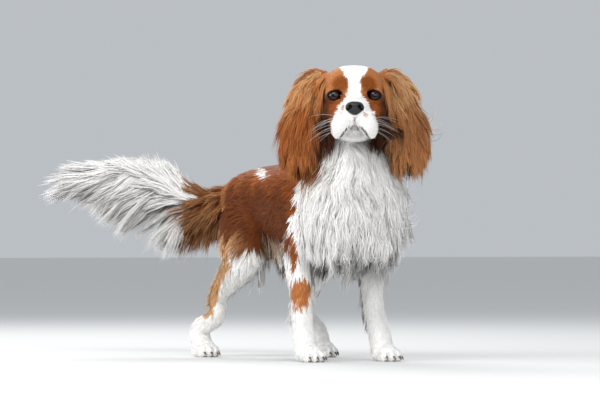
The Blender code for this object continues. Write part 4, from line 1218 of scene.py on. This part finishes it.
rim_finish, _, _ = material("eye rim", {
    "Base Color": (*srgb(14, 10, 11), 1), "Roughness": 0.60, "Specular IOR Level": 0.12,
})
RIM_STEPS = (0.0, 0.3, 0.6, 0.85, 1.0)
RIM_RISE = (-0.0002, 0.0010, 0.0016, 0.0015, 0.0004)
RIM_PARTS = 72


def over_ball(s, x, z, reach):
    """A point on a sphere round one eye's middle: x outwards, z up."""
    depth = math.sqrt(max(reach * reach - x * x - z * z, 1e-8))
    return Vector((s * x, -depth, z))


for side, s in SIDES:
    rim = bmesh.new()
    rings = []
    for k in range(RIM_PARTS):
        turn = FULL_TURN * k / RIM_PARTS
        c, n = math.cos(turn), math.sin(turn)
        ring = []
        for share, rise in zip(RIM_STEPS, RIM_RISE):
            wide = (0.0098 + 0.0022 * share) if c > 0 else (0.0116 + 0.0026 * share)
            tall = (0.0060 + 0.0020 * share) if n > 0 else (0.0062 + 0.0018 * share)
            x = wide * math.copysign(abs(c) ** 0.92, c)
            z = tall * n * (1 - 0.30 * c * c) - 0.0012 * max(0.0, -c) ** 3
            ring.append(over_ball(s, x, z, EYE_RADIUS + rise))
        under = over_ball(s, (0.0090 if c > 0 else 0.0108) * c, 0.0074 * n, EYE_RADIUS - 0.0010)
        ring += [under * Vector((1.1, 0.9, 1.1)), under]
        rings.append([rim.verts.new(HEAD @ (eye_centre(s) + place)) for place in ring])
    for here, after in zip(rings, rings[1:] + rings[:1]):
        for k in range(len(here)):
            m = (k + 1) % len(here)
            rim.faces.new((here[k], here[m], after[m], after[k]))
    bmesh.ops.recalc_face_normals(rim, faces=rim.faces)
    dress(settle(rim, "eye_rim_" + side), rim_finish, "nose_leather")


# Whiskers
# Long pale stiff hairs that curve out and down from the flews.
# Each springs from the skin and tapers to nothing.

chance = np.random.default_rng(61)
WHISKER_POINTS = 8
starts, ways, spans = [], [], []
for s in (-1, 1):
    for k in range(12):
        across, ahead = s * chance.uniform(0.026, 0.036), chance.uniform(-0.074, -0.056)
        starts.append((across, ahead, -0.034 - 0.0024 * k * chance.uniform(0.6, 1.2)))
        ways.append((s * chance.uniform(0.75, 1.0), chance.uniform(-0.25, 0.25), chance.uniform(-0.55, 0.10)))
        spans.append(chance.uniform(0.026, 0.046))
paths = np.empty((len(starts), WHISKER_POINTS, 3))
for i, (start, way, span) in enumerate(zip(starts, ways, spans)):
    near, normal, _, _ = hide_tree.find_nearest(HEAD @ Vector(start))
    way = (HEAD.to_3x3() @ Vector(way)).normalized()
    way = (way + normal * 0.3).normalized()
    for k in range(WHISKER_POINTS):
        t = k / (WHISKER_POINTS - 1)
        paths[i, k] = near - normal * 0.001 + way * (span * t) + Vector((0, 0, -0.35 * span * t * t))
pale = np.tile(srgb(238, 236, 232), (len(starts), 1))
side = unit(np.cross(paths[:, -1] - paths[:, 0], (0.3, 0.2, 1.0)))
widths = np.full(len(starts), 0.0005)
strands("whiskers", "coat_white", paths, side, widths, pale, pale, flat=1.0, taper=FINE_TAPER)


# Claws
# Short curved horn claws, one at the end of each toe, half hidden in the hair of the feet.
# They grow from the toes and point down to the floor.

horn, tree, shader = material("claw horn", {"Roughness": 0.35})
streaks = add_node(tree, "TexNoise", {"Scale": 420})
place = add_node(tree, "TexCoord")
colours = add_node(tree, "ValToRGB")
colours.color_ramp.elements[0].color = (*srgb(60, 48, 44), 1)
colours.color_ramp.elements[1].color = (*srgb(120, 100, 90), 1)
tree.links.new(place.outputs["Object"], streaks.inputs["Vector"])
tree.links.new(streaks.outputs["Fac"], colours.inputs["Fac"])
tree.links.new(colours.outputs["Color"], shader.inputs["Base Color"])
claws = bmesh.new()
feet = [(x, foot, *FORE_FOOT) for x, foot, _ in FORELEGS.values()]
feet += [(foot[0], foot[1], *HIND_FOOT) for _, _, _, foot in HINDLEGS.values()]
for x, y, half_width, half_length in feet:
    for share, ahead in TOES:
        tx, ty = x + share * half_width, y - ahead * half_length - 0.0085
        tube(claws, [
            (tx, ty + 0.0020, 0.0080, 0.0016, 0.0018, 0.0018),
            (tx, ty - 0.0020, 0.0075, 0.0014, 0.0017, 0.0017),
            (tx, ty - 0.0050, 0.0055, 0.0010, 0.0012, 0.0012),
            (tx, ty - 0.0066, 0.0030, 0.0004, 0.0005, 0.0005),
        ], sides=12, per_span=3)
dress(settle(claws, "claws"), horn, "nose_leather")


# Nose
# Black pebbled leather with two comma nostrils, moist and softly shining.
# It is set into the end of the muzzle.

leather = bmesh.new()
tube(leather, [
    (0, -0.0950, -0.0275, 0.0070, 0.0050, 0.0055),
    (0, -0.0925, -0.0270, 0.0125, 0.0088, 0.0092),
    (0, -0.0880, -0.0268, 0.0142, 0.0105, 0.0104),
    (0, -0.0820, -0.0262, 0.0138, 0.0102, 0.0100),
    (0, -0.0740, -0.0260, 0.0115, 0.0085, 0.0090),
], place=HEAD, power=2.4)
leather = settle(leather, "nose_leather")
melt(leather, 0.0005, 6)
nose_face = in_head(points_of(leather.data))
nose_face[:, 0] *= 1 - 0.42 * ramp(-0.0270 - nose_face[:, 2], 0.0, 0.0100)
move_points(leather.data, from_head(nose_face))
for s in (-1, 1):
    for centre, radii in (
        ((0.0070 * s, -0.0950, -0.0255), (0.0030, 0.0065, 0.0034)),
        ((0.0105 * s, -0.0930, -0.0290), (0.0042, 0.0045, 0.0013)),
    ):
        hole = bmesh.new()
        ball(hole, centre, radii, place=HEAD)
        drill(leather, settle(hole, "hole"))
nose_finish, tree, shader = material("nose leather", {
    "Base Color": (*srgb(23, 20, 22), 1), "Roughness": 0.38,
})
place = add_node(tree, "TexCoord")
pebble = add_node(tree, "TexVoronoi", {"Scale": 900})
bump = add_node(tree, "Bump", {"Strength": 0.5, "Distance": 0.0006})
tree.links.new(place.outputs["Object"], pebble.inputs["Vector"])
tree.links.new(pebble.outputs["Distance"], bump.inputs["Height"])
tree.links.new(bump.outputs["Normal"], shader.inputs["Normal"])
dress(leather, nose_finish, "nose_leather", "nose")


# Studio
# A pale floor, a pale blue sky and four soft lamps that are aimed at the dog.
# The camera is level with the dog's chest, at the photograph's angle and with a long lens.

FLOOR_REACH = 40
corners = [(x * FLOOR_REACH, y * FLOOR_REACH, 0) for x, y in ((-1, -1), (1, -1), (1, 1), (-1, 1))]
floor_mesh = bpy.data.meshes.new("floor")
floor_mesh.from_pydata(corners, [], [(0, 1, 2, 3)])
floor_mesh.materials.append(material("floor", {"Base Color": (0.78, 0.78, 0.77, 1), "Roughness": 0.9})[0])
put("floor", floor_mesh)

world = bpy.data.worlds.new("studio")
bpy.context.scene.world = world
world.use_nodes = True
set_sockets(world.node_tree.nodes["Background"], {"Color": (0.90, 0.95, 1.0, 1), "Strength": 0.55})
bpy.context.scene.view_settings.view_transform = "Standard"

VIEW_ANGLE = math.radians(33)
back = Vector((-math.sin(VIEW_ANGLE), -math.cos(VIEW_ANGLE), 0))
right = Vector((math.cos(VIEW_ANGLE), -math.sin(VIEW_ANGLE), 0))
LAMP_AIM = Vector((0, 0.05, 0.25))
for name, towards_camera, aside, height, width, length, power, colour in (
    ("key", 1.9, -0.5, 2.1, 1.9, 0.8, 32, (1.0, 0.99, 0.97)),
    ("fill", 2.4, 1.1, 1.3, 2.4, 0.9, 20, (1, 1, 1)),
    ("side", 1.0, -2.2, 1.2, 1.6, 0.9, 24, (1, 1, 1)),
    ("rim", -1.5, -0.6, 1.9, 1.6, 1.0, 26, (1, 1, 1)),
):
    light = bpy.data.lights.new(name, "AREA")
    light.shape = "RECTANGLE"
    light.size, light.size_y = width, length
    light.energy = power
    light.color = colour
    lamp = put(name, light)
    lamp.location = back * towards_camera + right * aside + Vector((0, 0, height))
    lamp.rotation_euler = (LAMP_AIM - lamp.location).to_track_quat("-Z", "Y").to_euler()

CAMERA_AWAY, CAMERA_ASIDE, CAMERA_HEIGHT = 5.2, -0.067, 0.18
lens = bpy.data.cameras.new("camera")
lens.sensor_width = 36
lens.lens = 200
lens.shift_y = 46 / 600
lens.dof.use_dof = False
camera = put("camera", lens)
camera.location = back * CAMERA_AWAY + right * CAMERA_ASIDE + Vector((0, 0, CAMERA_HEIGHT))
camera.location += STAND.translation
camera.rotation_euler = (math.radians(90), 0, -VIEW_ANGLE)
bpy.context.scene.camera = camera
